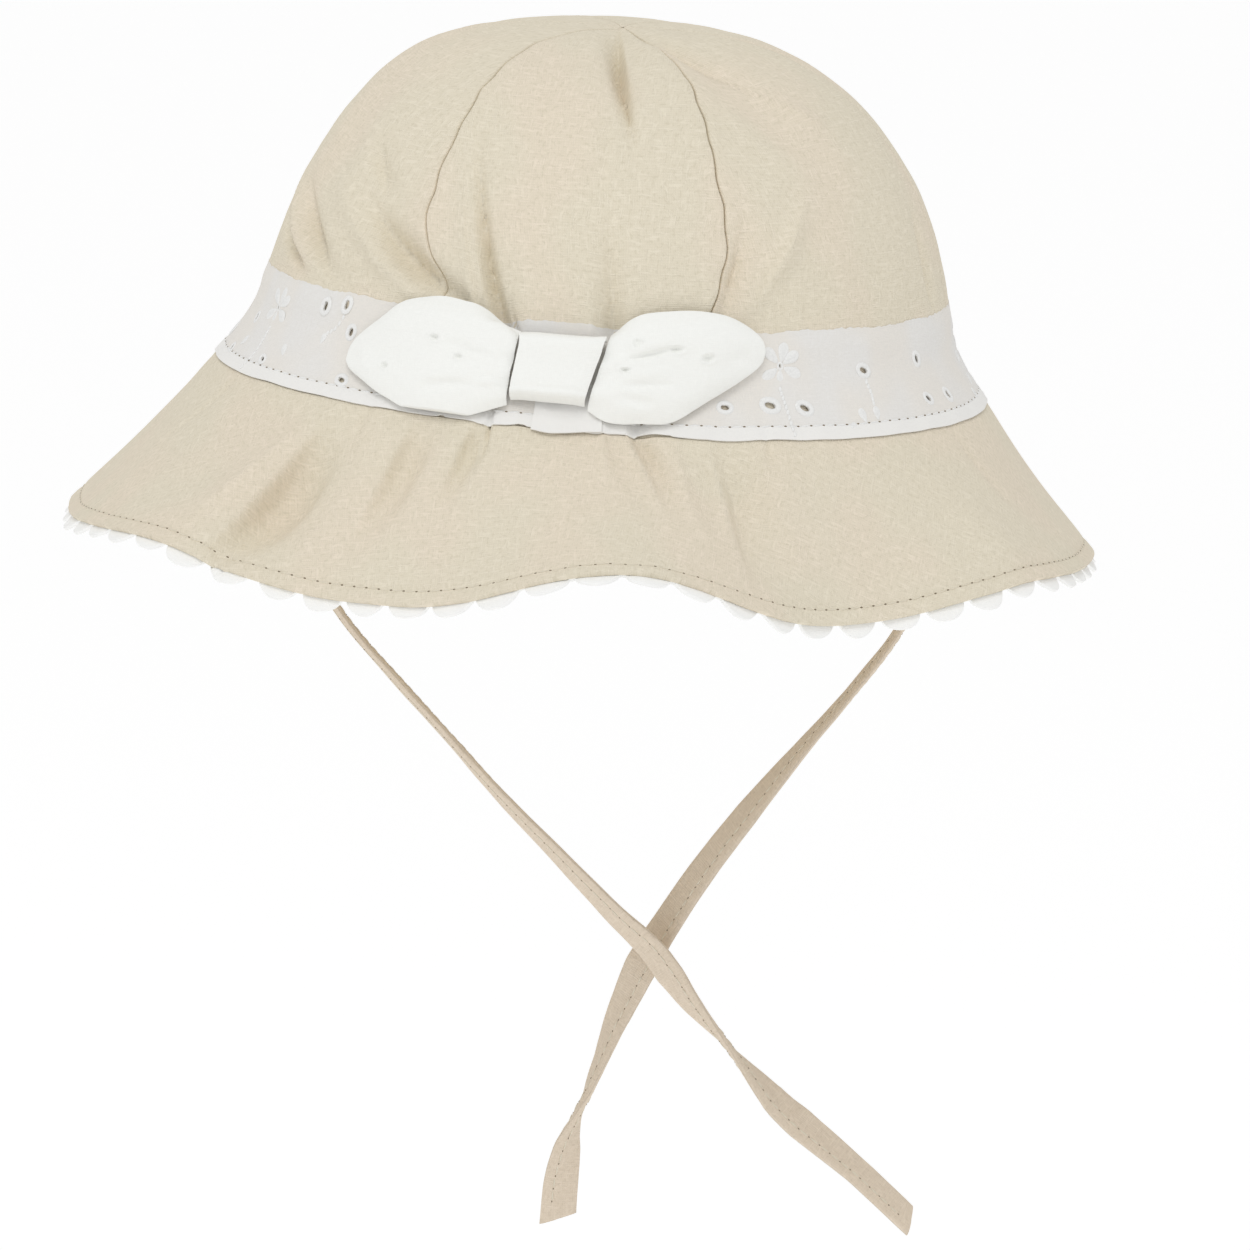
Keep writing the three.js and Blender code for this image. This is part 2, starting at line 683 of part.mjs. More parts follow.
gores.forEach((part, index) => addPiece(part.name, gore(index, part.columns), linen));
addPiece("brim", brim(), linen);
addPiece("brim_trim", brimTrim(), whiteCotton);
addPiece("hat_band", hatBand(), voile);
addPiece("bow_wing_left", bowWing(leftWingRows, leftWingReach, -1), whiteCotton);
addPiece("bow_wing_right", bowWing(rightWingRows, rightWingReach, 1), whiteCotton);
addPiece("bow_knot", bowKnot(), whiteCotton);
addPiece("tie_left", tie(leftTieRoute), linen);
addPiece("tie_right", tie(rightTieRoute), linen);

export default hat;
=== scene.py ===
import math
from collections import namedtuple

import bmesh
import bpy
import numpy as np
from mathutils import Matrix, Vector, noise


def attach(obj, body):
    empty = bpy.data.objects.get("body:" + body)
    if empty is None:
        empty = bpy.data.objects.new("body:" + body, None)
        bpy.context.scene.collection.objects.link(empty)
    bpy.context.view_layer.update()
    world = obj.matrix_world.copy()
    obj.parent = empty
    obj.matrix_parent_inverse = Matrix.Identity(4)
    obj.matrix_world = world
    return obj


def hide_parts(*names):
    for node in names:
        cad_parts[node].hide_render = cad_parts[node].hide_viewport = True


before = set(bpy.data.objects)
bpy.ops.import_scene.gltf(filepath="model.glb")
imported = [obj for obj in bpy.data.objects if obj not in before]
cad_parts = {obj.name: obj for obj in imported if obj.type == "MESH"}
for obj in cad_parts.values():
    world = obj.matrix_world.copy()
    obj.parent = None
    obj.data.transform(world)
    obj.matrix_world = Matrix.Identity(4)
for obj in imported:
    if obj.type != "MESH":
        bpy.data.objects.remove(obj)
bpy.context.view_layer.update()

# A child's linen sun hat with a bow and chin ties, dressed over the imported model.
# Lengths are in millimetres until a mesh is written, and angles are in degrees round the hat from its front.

MM = 0.001
DEGREE = math.pi / 180

# Camera: the photograph's angle, and the scale that its picture has at the hat
VIEW_AZIMUTH = 8.0
VIEW_ELEVATION = 9.5
VIEW_ROLL = 3.0
VIEW_DISTANCE = 2500.0
VIEW_WIDTH = 275.0
VIEW_TARGET = (8.1, 1.1, -132.0)
FLOOR_HEIGHT = -620.0

# Light
WORLD_STRENGTH = 0.76
LAMP_SIZE = 0.8
LAMP_POWER = 5.9
LAMP_AZIMUTH = -6.0
LAMP_ELEVATION = 55.0
LAMP_DISTANCE = 1.6
LAMP_AIM = (0, 0, -0.06)
FLOOR_GLOW = 0.25

# Crown
CROWN_HEIGHT = 77.0
SEAM_DROOP = 3.2
DROOP_AZIMUTH = 35.0
SEAM_HALF_WIDTH = 84.3
SEAM_HALF_DEPTH = 72.5
CROWN_WALL = 1.2
CROWN_LEAN = 1.2
DENT_DEPTH = 2.4
DENT_WIDTH = 9.0
CROWN_CLOTH = 0.7
ALLOWANCE = 6.0

# Brim and its edging
BRIM_LENGTH = 44.0
BRIM_SIDE_DRIFT = 3.2
BRIM_SPRING = 0.7
BRIM_CLOTH = 1.1
BRIM_FOLD_DEPTH = 1.8
BRIM_FOLD_WIDTH = 7.0
HEM_STITCH_INSET = 3.4
TRIM_CLOTH = 0.8
TRIM_TUCK = 3.0
TRIM_SHOW = 2.8
TRIM_NOTCH = -0.5
SCALLOP_PITCH = 10.6

# Band
BAND_HEIGHT = 20.5
BAND_CLOTH = 0.3
BAND_LIFT = 0.4
BAND_HEM = 2.1
BAND_LAP = 0.15
BAND_GRIP = 8.0
BAND_TOP_DROP = 0.25
EYELET_WIDTH = 1.2
EYELET_HEIGHT = 2.1

# Bow
BOW_RISE = 11.0
BOW_LIFT = 0.9
WING_HALF_HEIGHT = 12.6
LEFT_WING_REACH = 41.0
RIGHT_WING_REACH = 35.0
WING_SWELL = 3.6
WING_CLOTH = 1.0
WING_FLATNESS = 3.5
KNOT_TOP_WIDTH = 17.3
KNOT_FOOT_WIDTH = 15.8
KNOT_HEIGHT = 15.0
KNOT_LEAN = 1.9
KNOT_THICKNESS = 4.9

# Ties
TIE_WIDTH = 8.0
TIE_THICKNESS = 1.2
TIE_END_SLANT = 3.0

# Clearance between pieces, and the pitch of the stitches
GAP = 0.3
STITCH_PITCH = 3.1

# Crown profile from the top to the seam: shares of the crown's height and of the seam's half width.
CROWN_ROWS = np.array([
    (0, 0), (0.006, 0.17), (0.032, 0.34), (0.09, 0.49), (0.17, 0.6), (0.27, 0.69), (0.39, 0.767),
    (0.52, 0.824), (0.64, 0.862), (0.745, 0.886), (0.845, 0.908), (0.93, 0.95), (1, 1),
])

Seam = namedtuple("Seam", "azimuth drawn_to")
SEAMS = [Seam(-29, -22), Seam(28, 24.2), Seam(90, 90), Seam(150, 150), Seam(210, 210), Seam(270, 270)]
DRAW_START = 0.48
DRAW_END = 0.74
CREASE_SHARPNESS = 1.7
PANELS = [
    "crown_panel_front",
    "crown_panel_front_right",
    "crown_panel_back_right",
    "crown_panel_back",
    "crown_panel_back_left",
    "crown_panel_front_left",
]

# A fold runs from one azimuth to another between two shares along the cloth, and is deepest at a share of its own
# run. Its width and depth are shares of the named ones, and a negative depth is a ridge.
Fold = namedtuple("Fold", "start end top foot deepest width depth")
CROWN_DENTS = [
    Fold(8, 10.5, 0.03, 0.42, 0.4, 0.9, 1),
    Fold(-21.5, -8, 0.44, 0.8, 0.85, 0.8, 0.8),
    Fold(7, 8.4, 0.5, 0.8, 0.8, 0.8, 0.5),
    Fold(-48, -22, 0.42, 0.76, 0.6, 1.1, 0.6),
    Fold(-66, -56, 0.22, 0.72, 0.5, 1.2, 0.5),
    Fold(34, 54, 0.12, 0.5, 0.5, 1.2, 0.7),
    Fold(29, 35, 0.5, 0.79, 0.6, 1.2, 0.7),
    Fold(112, 124, 0.2, 0.7, 0.5, 1.4, 0.6),
    Fold(178, 184, 0.15, 0.65, 0.5, 1.4, 0.7),
    Fold(238, 250, 0.3, 0.74, 0.6, 1.4, 0.6),
    Fold(-75, -75, 0.1, 0.4, 0.5, 3.5, -0.35),
]

# A crease is a sharper fold, whose two flanks reach aside by millimetres of their own, and whose depth is in
# millimetres too.
Crease = namedtuple("Crease", "start end top foot deepest left right depth")
CROWN_CREASES = [
    Crease(6.4, 11.8, 0.02, 0.47, 0.5, 4, 1.3, 3.8),
    Crease(10, 14, 0.1, 0.42, 0.6, 1.6, 5, -0.7),
    Crease(-17, -6, 0.15, 0.5, 0.6, 2.5, 2.5, 0.5),
    Crease(5.6, 4.2, 0.32, 0.54, 0.5, 2, 2, 0.6),
    Crease(-26, -7, 0.34, 0.84, 0.68, 2.6, 3.2, 3.8),
    Crease(-11.8, -5.2, 0.64, 0.84, 0.8, 0.7, 1.2, 1.3),
    Crease(-27, -12.5, 0.4, 0.82, 0.7, 2.8, 1.8, -1.0),
    Crease(5, 9.2, 0.44, 0.84, 0.75, 4, 4, 2.4),
    Crease(3, 5, 0.56, 0.8, 0.8, 2.5, 1.6, -0.6),
    Crease(-52, -38, 0.43, 0.57, 0.5, 7, 7, 2.4),
    Crease(-78, -42, 0.52, 0.75, 0.5, 8, 11, 3.9),
    Crease(-86, -50, 0.52, 0.75, 0.5, 8, 9, -1.8),
    Crease(-52, -13, 0.5, 0.76, 0.6, 8, 11, 4.8),
    Crease(-61, -22, 0.5, 0.76, 0.6, 8, 9, -2.2),
    Crease(-84, -50, 0.61, 0.75, 0.5, 9, 11, 2.6),
    Crease(-25.8, -23.6, 0.68, 0.78, 0.6, 0.8, 1.5, 1.0),
    Crease(18, 60, 0.06, 0.38, 0.5, 5, 6, 3.3),
    Crease(26, 66, 0.12, 0.42, 0.5, 5, 6, -2.2),
    Crease(33, 25, 0.5, 0.76, 0.5, 4, 5, 2.5),
    Crease(49, 30, 0.46, 0.72, 0.5, 6, 6, -2.4),
    Crease(81, 80, 0.5, 0.78, 0.5, 5, 5, 2.2),
    Crease(132, 122, 0.4, 0.82, 0.8, 2, 3.5, 1.5),
    Crease(176, 182, 0.45, 0.84, 0.85, 1.4, 3.2, 2.0),
    Crease(228, 236, 0.4, 0.82, 0.8, 3.5, 1.6, 1.5),
]

# Waves of the brim: its angle from vertical at each crest and lobe.
BRIM_WAVES = [
    (-180, 41), (-152, 33), (-118, 42), (-82, 41), (-48, 49), (-24, 34), (-16, 34.5), (11.5, 58), (39, 29.5),
    (66, 45), (92, 40), (126, 33), (156, 43), (180, 41),
]
BRIM_FOLDS = [
    Fold(-32, -39.3, 0, 1.1, 0.45, 1, 0.85),
    Fold(-18.5, -25, 0, 0.9, 0.35, 0.9, 0.8),
    Fold(-9, -15, 0, 0.6, 0.25, 0.7, 0.8),
    Fold(10, 16, 0, 0.7, 0.25, 0.7, 0.8),
    Fold(21.5, 25, 0, 0.95, 0.35, 0.9, 0.9),
    Fold(60, 66, 0.1, 1.1, 0.6, 1.4, -0.6),
    Fold(118, 128, 0, 1.1, 0.5, 1.5, 0.8),
    Fold(168, 174, 0, 1.1, 0.5, 1.5, -0.8),
    Fold(212, 206, 0, 1.1, 0.5, 1.5, 0.8),
    Fold(262, 258, 0.1, 1.1, 0.6, 1.4, -0.6),
    Fold(88, 88, 0, 1, 0.4, 5, 0.6),
]
BRIM_CREASES = [
    Crease(-38.2, -38, 0.84, 1.06, 0.5, 1.0, 0.5, 1.2),
    Crease(-36.9, -36.7, 0.86, 1.04, 0.5, 0.5, 1.0, 1.1),
    Crease(-37, -45, 0.0, 1.02, 0.6, 9, 6, -2.8),
    Crease(-28, -30, -0.06, 0.35, 0.3, 2, 2, 0.7),
    Crease(-8.9, -9.4, -0.08, 0.34, 0.25, 0.9, 0.9, 2.2),
    Crease(-5, -6, -0.06, 0.3, 0.3, 2.5, 3, -0.7),
    Crease(7.6, 9, -0.06, 0.32, 0.3, 2.2, 1.6, -1.1),
    Crease(17.6, 21.5, -0.06, 0.7, 0.3, 2.5, 2, -0.7),
    Crease(32, 33, -0.06, 0.3, 0.3, 1.5, 2, 0.7),
    Crease(-60, -66, -0.06, 0.6, 0.3, 3, 3, 0.7),
    Crease(70, 74, -0.06, 0.7, 0.4, 2, 4, 0.9),
]

# A pleat drops steeply from its crest and rises slowly on the other side, over two reaches in millimetres. Its
# crest bends: it has come half its way round at a quarter of its run.
Pleat = namedtuple("Pleat", "start end top foot deepest drop rise depth")
BRIM_PLEATS = [
    Pleat(-32, -40.4, -0.02, 1.05, 0.62, 2.6, 14, 6),
    Pleat(-18.4, -24.6, -0.06, 0.9, 0.35, 2.4, 8, 2.6),
    Pleat(-10, -14, -0.06, 0.6, 0.3, 1.4, 4, 1.7),
    Pleat(8.3, 17, -0.08, 0.6, 0.25, 1.8, 4.5, 2.8),
    Pleat(21.6, 26.4, -0.08, 1.0, 0.4, 2.8, 11, 4),
    Pleat(112, 118, -0.06, 0.9, 0.3, 3, 8, 2.0),
    Pleat(150, 147, -0.06, 0.8, 0.3, 3, 6, 1.6),
    Pleat(182, 186, -0.06, 0.95, 0.3, 3, 8, 2.2),
    Pleat(217, 212, -0.06, 0.8, 0.3, 3, 6, 1.7),
    Pleat(255, 251, -0.06, 0.6, 0.3, 3, 6, 1.2),
]

# An embroidered sprig's eyelets: degrees from its flower, height as a share of the band's, turn of the hole, and
# size as a share of the eyelet's.
Eyelet = namedtuple("Eyelet", "across up turn size")
RIGHT_SPRIG = [
    Eyelet(0, 0.66, 0, 0.45),
    Eyelet(-10.3, 0.27, 84, 0.9),
    Eyelet(-2.7, 0.29, 74, 1.15),
    Eyelet(3.3, 0.26, 60, 1.05),
    Eyelet(17.1, 0.58, 68, 1),
    Eyelet(32.3, 0.62, 12, 0.9),
    Eyelet(31.8, 0.24, 50, 0.85),
    Eyelet(39, 0.23, 25, 0.95),
]
LEFT_SPRIG = [
    Eyelet(0, 0.66, 0, 0.45),
    Eyelet(15.4, 0.82, 0, 1),
    Eyelet(20.6, 0.88, 0, 1),
    Eyelet(23.3, 0.62, 0, 0.9),
    Eyelet(25.8, 0.16, 70, 0.9),
    Eyelet(-8.2, 0.48, 0, 0.7),
    Eyelet(-9.9, 0.13, 40, 0.7),
    Eyelet(4.7, 0.16, 60, 0.7),
]
FLOWER_UP = 0.66
LEFT_FLOWERS = (-61.6, 100, 203)
RIGHT_FLOWERS = (36.9, 141, 238)

# Petals of a flower, by the turn of each, and the leaves and stems of a sprig: degrees from its flower and
# height as a share of the band's, with the turn and size of a leaf.
PETAL_TURNS = (34, 76, 132, 216, 266, 335)
Leaf = namedtuple("Leaf", "across up turn size")
RIGHT_LEAVES = [Leaf(14.2, 0.17, 100, 0.8), Leaf(17.3, 0.18, 80, 0.75), Leaf(11.5, 0.09, 40, 0.45)]
RIGHT_STEMS = [[(-0.4, 0.44), (0.1, 0.25), (0.3, 0.03)], [(17.3, 0.47), (17.6, 0.36), (17.4, 0.27)]]
LEFT_LEAVES = [Leaf(-6.5, 0.24, 60, 0.7), Leaf(9, 0.3, 120, 0.7), Leaf(17.5, 0.5, 80, 0.6)]
LEFT_STEMS = [[(0.3, 0.44), (0.8, 0.25), (0.4, 0.03)], [(20.6, 0.75), (19.4, 0.62), (18, 0.56)]]

# Sections of the bow's wings from the knot to the tip: shares of the reach, of the half height for the section's
# middle and its half, and of the swell.
LEFT_WING_ROWS = np.array([
    (0, -0.04, 0.64, 0.7), (0.12, -0.02, 0.82, 0.9), (0.31, 0, 0.99, 1), (0.5, 0.01, 1, 0.9),
    (0.69, 0, 0.82, 0.7), (0.84, -0.1, 0.55, 0.4), (0.95, -0.2, 0.29, 0.1), (1, -0.26, 0.08, 0),
])
RIGHT_WING_ROWS = np.array([
    (0, 0, 0.66, 0.7), (0.12, 0.08, 0.88, 0.9), (0.3, 0.13, 0.95, 1), (0.52, 0.17, 0.93, 0.9),
    (0.7, 0.3, 0.74, 0.7), (0.84, 0.37, 0.53, 0.4), (0.95, 0.38, 0.29, 0.1), (1, 0.36, 0.08, 0),
])

# Creases of the wings: the two ends, aside and up from the middle of the hat's front, the reach to each side
# and the depth, all in millimetres. Then the pits of their eyelets: place, half width and half height.
WingCrease = namedtuple("WingCrease", "start end reach depth")
LEFT_WING_CREASES = [
    WingCrease((-29, -8.6), (-14, -5), 1.5, 0.55),
    WingCrease((-29, -6.4), (-14, -3), 2.0, -0.45),
    WingCrease((-11, -1), (-24, 3), 2.4, 0.5),
    WingCrease((-11, 3), (-20, 7.5), 2.0, 0.45),
    WingCrease((-11, -5), (-22, -6), 1.4, -0.5),
    WingCrease((-44, -4), (-34, -1), 3.0, 0.3),
]
RIGHT_WING_CREASES = [
    WingCrease((14, 2.6), (24.5, 6.2), 1.1, 1.0),
    WingCrease((14, 5), (24.5, 8.6), 2.4, -0.6),
    WingCrease((14, -3.6), (25, -2.8), 1.2, 0.6),
    WingCrease((13, -6), (22, -7), 1.6, 0.45),
    WingCrease((12.5, -2), (24, 0.5), 2.4, -0.4),
    WingCrease((34, 3), (42, 5), 3.0, 0.3),
]
WingEyelet = namedtuple("WingEyelet", "aside up across tall")
LEFT_WING_EYELETS = [
    WingEyelet(-26.2, 3.7, 1.1, 0.75), WingEyelet(-20.4, -0.5, 0.9, 0.65), WingEyelet(-37.9, -4.6, 0.95, 0.6),
]
RIGHT_WING_EYELETS = [
    WingEyelet(16.4, 6.6, 0.85, 1.0), WingEyelet(24.3, 5.8, 1.3, 0.7), WingEyelet(31, 4.1, 1.25, 0.9),
    WingEyelet(14.3, 0.2, 1.0, 0.5),
]

# Routes of the ties: x, y, z and the twist in degrees at each chosen point.
LEFT_TIE_ROUTE = np.array([
    (-80, -4, -75, 90), (-78.5, -4.6, -83, 88), (-75.5, -5.6, -93, 84), (-70.5, -7, -106, 78),
    (-62.5, -8.6, -120, 73), (-53, -10, -133.3, 70), (-41.3, -12, -144.8, 69), (-27.8, -13.5, -157.5, 67),
    (-15.5, -15, -169.2, 62), (-2.1, -16, -181.1, 54), (11.8, -16.5, -193.6, 45), (19.9, -16.5, -200.4, 34),
    (24.6, -16.5, -205.9, 30), (30.2, -16, -212.9, 48), (38.9, -15, -221.9, 80), (48.4, -14, -232, 122),
    (54.8, -13.5, -237.4, 135), (67.4, -12.5, -246.9, 122), (80, -12, -257.4, 120),
])
RIGHT_TIE_ROUTE = np.array([
    (79.6, -3, -75, 90), (78.8, -3.4, -83, 88), (77, -4.4, -98, 85), (74, -5.6, -114, 82),
    (69.4, -7, -127.3, 79), (59.4, -8, -142.1, 77), (49, -9, -155.8, 68), (38.6, -10, -170.1, 49),
    (29.7, -10, -183.3, 43), (21.9, -10, -196.5, 36), (17.1, -10, -205.9, 22), (14, -10, -213.6, 38),
    (11.6, -10, -219.9, 50), (9.3, -10.5, -227.2, 64), (7.2, -11, -233.6, 74), (4.6, -11.3, -241.2, 98),
    (3.1, -12, -247.6, 130), (2.2, -12, -255, 154), (1.9, -12, -263.4, 164),
])


# Surfaces of the hat

def ease(value, start, end):
    """Rises smoothly from 0 to 1 as the value goes from start to end."""
    share = np.clip((value - start) / (end - start), 0, 1)
    return (1 - np.cos(np.pi * share)) / 2


def mix(first, second, share):
    return first + (second - first) * share


def curve_through(points, share, open_ends=False):
    """Places on a uniform Catmull-Rom curve through the points. Open ends run straight on past the last points."""
    first = 2 * points[0] - points[1] if open_ends else points[0]
    final = 2 * points[-1] - points[-2] if open_ends else points[-1]
    row = np.vstack([first, points, final])
    last = len(points) - 1
    place = np.clip(share, 0, 1) * last
    start = np.minimum(place.astype(int), last - 1)
    t = (place - start)[..., None]
    before, here, there, after = (row[start + step] for step in range(4))
    leave, arrive = (there - before) / 2, (after - here) / 2
    cubic = 2 * here - 2 * there + leave + arrive
    square = 3 * there - 3 * here - 2 * leave - arrive
    return ((cubic * t + square) * t + leave) * t + here


def turn_between(azimuth, other):
    """The signed way round from one azimuth to another, from -180 to 180."""
    return np.mod(azimuth - other + 180, 360) - 180


def deepening(share, deepest):
    """How far a fold has deepened at a share of its run."""
    return np.where(share < deepest, ease(share, 0, deepest), 1 - ease(share, deepest, 1))


def fold_press(folds, azimuth, along, radius, width):
    """How deep a table of folds presses the cloth in, in shares of the fold depth."""
    press = np.zeros(np.broadcast(azimuth, along).shape)
    for fold in folds:
        share = (along - fold.top) / (fold.foot - fold.top)
        aside = np.abs(turn_between(azimuth, mix(fold.start, fold.end, share))) * DEGREE * radius
        reach = np.clip(aside / (fold.width * width), 0, 1)
        press += fold.depth * deepening(share, fold.deepest) * np.cos(reach * np.pi / 2) ** 2
    return press


def crease_press(creases, azimuth, along, radius):
    """How deep a table of creases presses the cloth in, in millimetres."""
    press = np.zeros(np.broadcast(azimuth, along).shape)
    for crease in creases:
        share = (along - crease.top) / (crease.foot - crease.top)
        aside = turn_between(azimuth, mix(crease.start, crease.end, share)) * DEGREE * radius
        reach = np.clip(np.abs(aside) / np.where(aside < 0, crease.left, crease.right), 0, 1)
        press += crease.depth * deepening(share, crease.deepest) * (1 - reach) ** CREASE_SHARPNESS
    return press


def pleat_press(pleats, azimuth, along):
    """How deep a table of pleats presses the brim in, in millimetres."""
    press = np.zeros(np.broadcast(azimuth, along).shape)
    for pleat in pleats:
        share = (along - pleat.top) / (pleat.foot - pleat.top)
        crest = mix(pleat.start, pleat.end, np.sqrt(np.clip(share, 0, 1)))
        aside = turn_between(azimuth, crest) * DEGREE * SEAM_HALF_WIDTH
        drop = np.sin(np.clip(aside / pleat.drop, 0, 1) * np.pi / 2)
        rise = np.cos(np.clip((aside - pleat.drop) / pleat.rise, 0, 1) * np.pi / 2) ** 2
        press += pleat.depth * deepening(share, pleat.deepest) * drop * rise
    return press


def oval_outward(azimuth):
    """Outward direction of the seam's oval."""
    angle = azimuth * DEGREE
    out = np.stack([
        SEAM_HALF_DEPTH / SEAM_HALF_WIDTH * np.sin(angle),
        -np.cos(angle),
        np.zeros_like(angle),
    ], -1)
    return out / np.linalg.norm(out, axis=-1, keepdims=True)


def crown_face(azimuth, along):
    """The crown's outer face, from 0 at the top to 1 at the seam."""
    azimuth, along = np.broadcast_arrays(np.asarray(azimuth, float), np.asarray(along, float))
    down, out = np.moveaxis(curve_through(CROWN_ROWS, along), -1, 0)
    radius, depth = out * SEAM_HALF_WIDTH, down * CROWN_HEIGHT
    droop = SEAM_DROOP * ((1 + np.cos((azimuth - DROOP_AZIMUTH) * DEGREE)) / 2) ** 2 * down * down
    angle = azimuth * DEGREE
    point = np.stack([
        CROWN_LEAN * np.sin(np.pi * down) ** 2 + radius * np.sin(angle),
        -radius * SEAM_HALF_DEPTH / SEAM_HALF_WIDTH * np.cos(angle),
        CROWN_WALL - depth - droop,
    ], -1)
    tilt = np.arctan2(depth, radius)
    inward = oval_outward(azimuth) * -np.sin(tilt)[..., None]
    inward[..., 2] = -np.cos(tilt)
    press = DENT_DEPTH * fold_press(CROWN_DENTS, azimuth, along, radius, DENT_WIDTH)
    return point + inward * press[..., None]


def crown_radius(along):
    return curve_through(CROWN_ROWS, np.asarray(along, float))[..., 1] * SEAM_HALF_WIDTH


ALONG_STEPS = np.linspace(0, 1, 2001)
DEPTH_STEPS = curve_through(CROWN_ROWS, ALONG_STEPS)[:, 0] * CROWN_HEIGHT


def along_at_depth(depth):
    """The share along the crown's profile at which it has come down by a depth."""
    return np.interp(depth, DEPTH_STEPS, ALONG_STEPS)


SEAM_RISE, SEAM_RUN = curve_through(CROWN_ROWS, np.array([0.9999, 1.0])).T @ (-1, 1)
SEAM_FLARE = math.atan2(SEAM_RUN * SEAM_HALF_WIDTH, SEAM_RISE * CROWN_HEIGHT)


def brim_length_at(azimuth):
    return BRIM_LENGTH - BRIM_SIDE_DRIFT * np.sin(azimuth * DEGREE)


def brim_flare(azimuth):
    """The brim's angle from vertical at an azimuth, in radians."""
    here = turn_between(azimuth, 0)
    flare = np.zeros_like(here)
    for (start, first), (end, second) in zip(BRIM_WAVES, BRIM_WAVES[1:]):
        inside = (here >= start) & (here <= end)
        flare = np.where(inside, mix(first, second, ease(here, start, end)), flare)
    return flare * DEGREE


def brim_face(azimuth, along):
    """The brim's outer face, from 0 at the seam to 1 at the hem."""
    azimuth, along = np.broadcast_arrays(np.asarray(azimuth, float), np.asarray(along, float))
    flare, length, outward = brim_flare(azimuth), brim_length_at(azimuth), oval_outward(azimuth)
    slope = outward * np.sin(flare)[..., None]
    slope[..., 2] = -np.cos(flare)
    up = outward * np.cos(flare)[..., None]
    up[..., 2] = np.sin(flare)
    spring = BRIM_SPRING * length * np.tan(SEAM_FLARE - flare) * along * (1 - along)
    press = BRIM_FOLD_DEPTH * fold_press(BRIM_FOLDS, azimuth, along, SEAM_HALF_WIDTH, BRIM_FOLD_WIDTH)
    start = crown_face(azimuth, 1.0)
    return start + slope * (GAP + length * along)[..., None] + up * (spring - press)[..., None]


def normal_of(face, azimuth, along):
    step = 0.002
    around = face(azimuth + 1, along) - face(azimuth - 1, along)
    downward = face(azimuth, along + step) - face(azimuth, np.maximum(along - step, step / 4))
    normal = np.cross(downward, around)
    return normal / np.linalg.norm(normal, axis=-1, keepdims=True)


def over(face, azimuth, along, lift):
    """Points at a height over a face."""
    azimuth, along, lift = np.broadcast_arrays(*(np.asarray(v, float) for v in (azimuth, along, lift)))
    return face(azimuth, along) + normal_of(face, azimuth, along) * lift[..., None]


def ripple(points, size, seed):
    """Smooth noise from about -1 to 1 whose bumps have a size in millimetres."""
    shift = Vector((seed * 17.3, seed * 5.9, seed * 11.1))
    flat = points.reshape(-1, 3) / size
    values = np.fromiter((noise.noise(Vector(p) + shift) for p in flat), float, len(flat))
    return values.reshape(points.shape[:-1])


# Making meshes

def only(obj):
    """Selects one object and nothing else."""
    bpy.ops.object.select_all(action="DESELECT")
    obj.select_set(True)
    bpy.context.view_layer.objects.active = obj


def use(obj, kind, **settings):
    """Adds a modifier and applies it."""
    only(obj)
    modifier = obj.modifiers.new(kind.title(), kind)
    for name, value in settings.items():
        setattr(modifier, name, value)
    bpy.ops.object.modifier_apply(modifier=modifier.name)


def in_edit_mode(obj, *steps):
    """Runs edit mode operators on all of an object's mesh, each given with its settings."""
    only(obj)
    bpy.ops.object.mode_set(mode="EDIT")
    bpy.ops.mesh.select_all(action="SELECT")
    for operator, settings in steps:
        operator(**settings)
    bpy.ops.object.mode_set(mode="OBJECT")


def cloth(name, columns, rows, shape, ring=False):
    """A flat grid of cloth that is put on the hat. shape takes each point's shares across and up the grid, and
    gives its place and its place on the flat cut, both in millimetres."""
    bpy.ops.object.select_all(action="DESELECT")
    bpy.ops.mesh.primitive_grid_add(x_subdivisions=columns, y_subdivisions=rows, size=1)
    obj = bpy.context.active_object
    obj.name = obj.data.name = name
    mesh = obj.data
    flat = np.zeros(len(mesh.vertices) * 3)
    mesh.vertices.foreach_get("co", flat)
    across, up = np.clip(flat.reshape(-1, 3)[:, :2].T + 0.5, 0, 1)
    place, cut = shape(across, up)
    mesh.vertices.foreach_set("co", (place * MM).ravel())
    corners = np.zeros(len(mesh.loops), int)
    mesh.loops.foreach_get("vertex_index", corners)
    mesh.uv_layers.active.data.foreach_set("uv", (cut[corners] * MM).ravel())
    mesh.update()
    if ring:
        in_edit_mode(obj, (bpy.ops.mesh.remove_doubles, {"threshold": 0.002 * MM}))
    return obj


def smooth(obj, angle=50):
    only(obj)
    bpy.ops.object.shade_smooth_by_angle(angle=math.radians(angle))


def dress(obj, material, slot, *nodes):
    """Gives a finished piece its material, and puts it on the hat in place of CAD nodes. The slot is not used."""
    obj.data.materials.clear()
    obj.data.materials.append(material)
    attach(obj, "root")
    if nodes:
        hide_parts(*nodes)


# A finished surface gives a place for an azimuth and a second measure, and rise is a small step of that
# measure towards the top of the hat.
Surface = namedtuple("Surface", "place rise")
SLOPE_TURN = 0.5


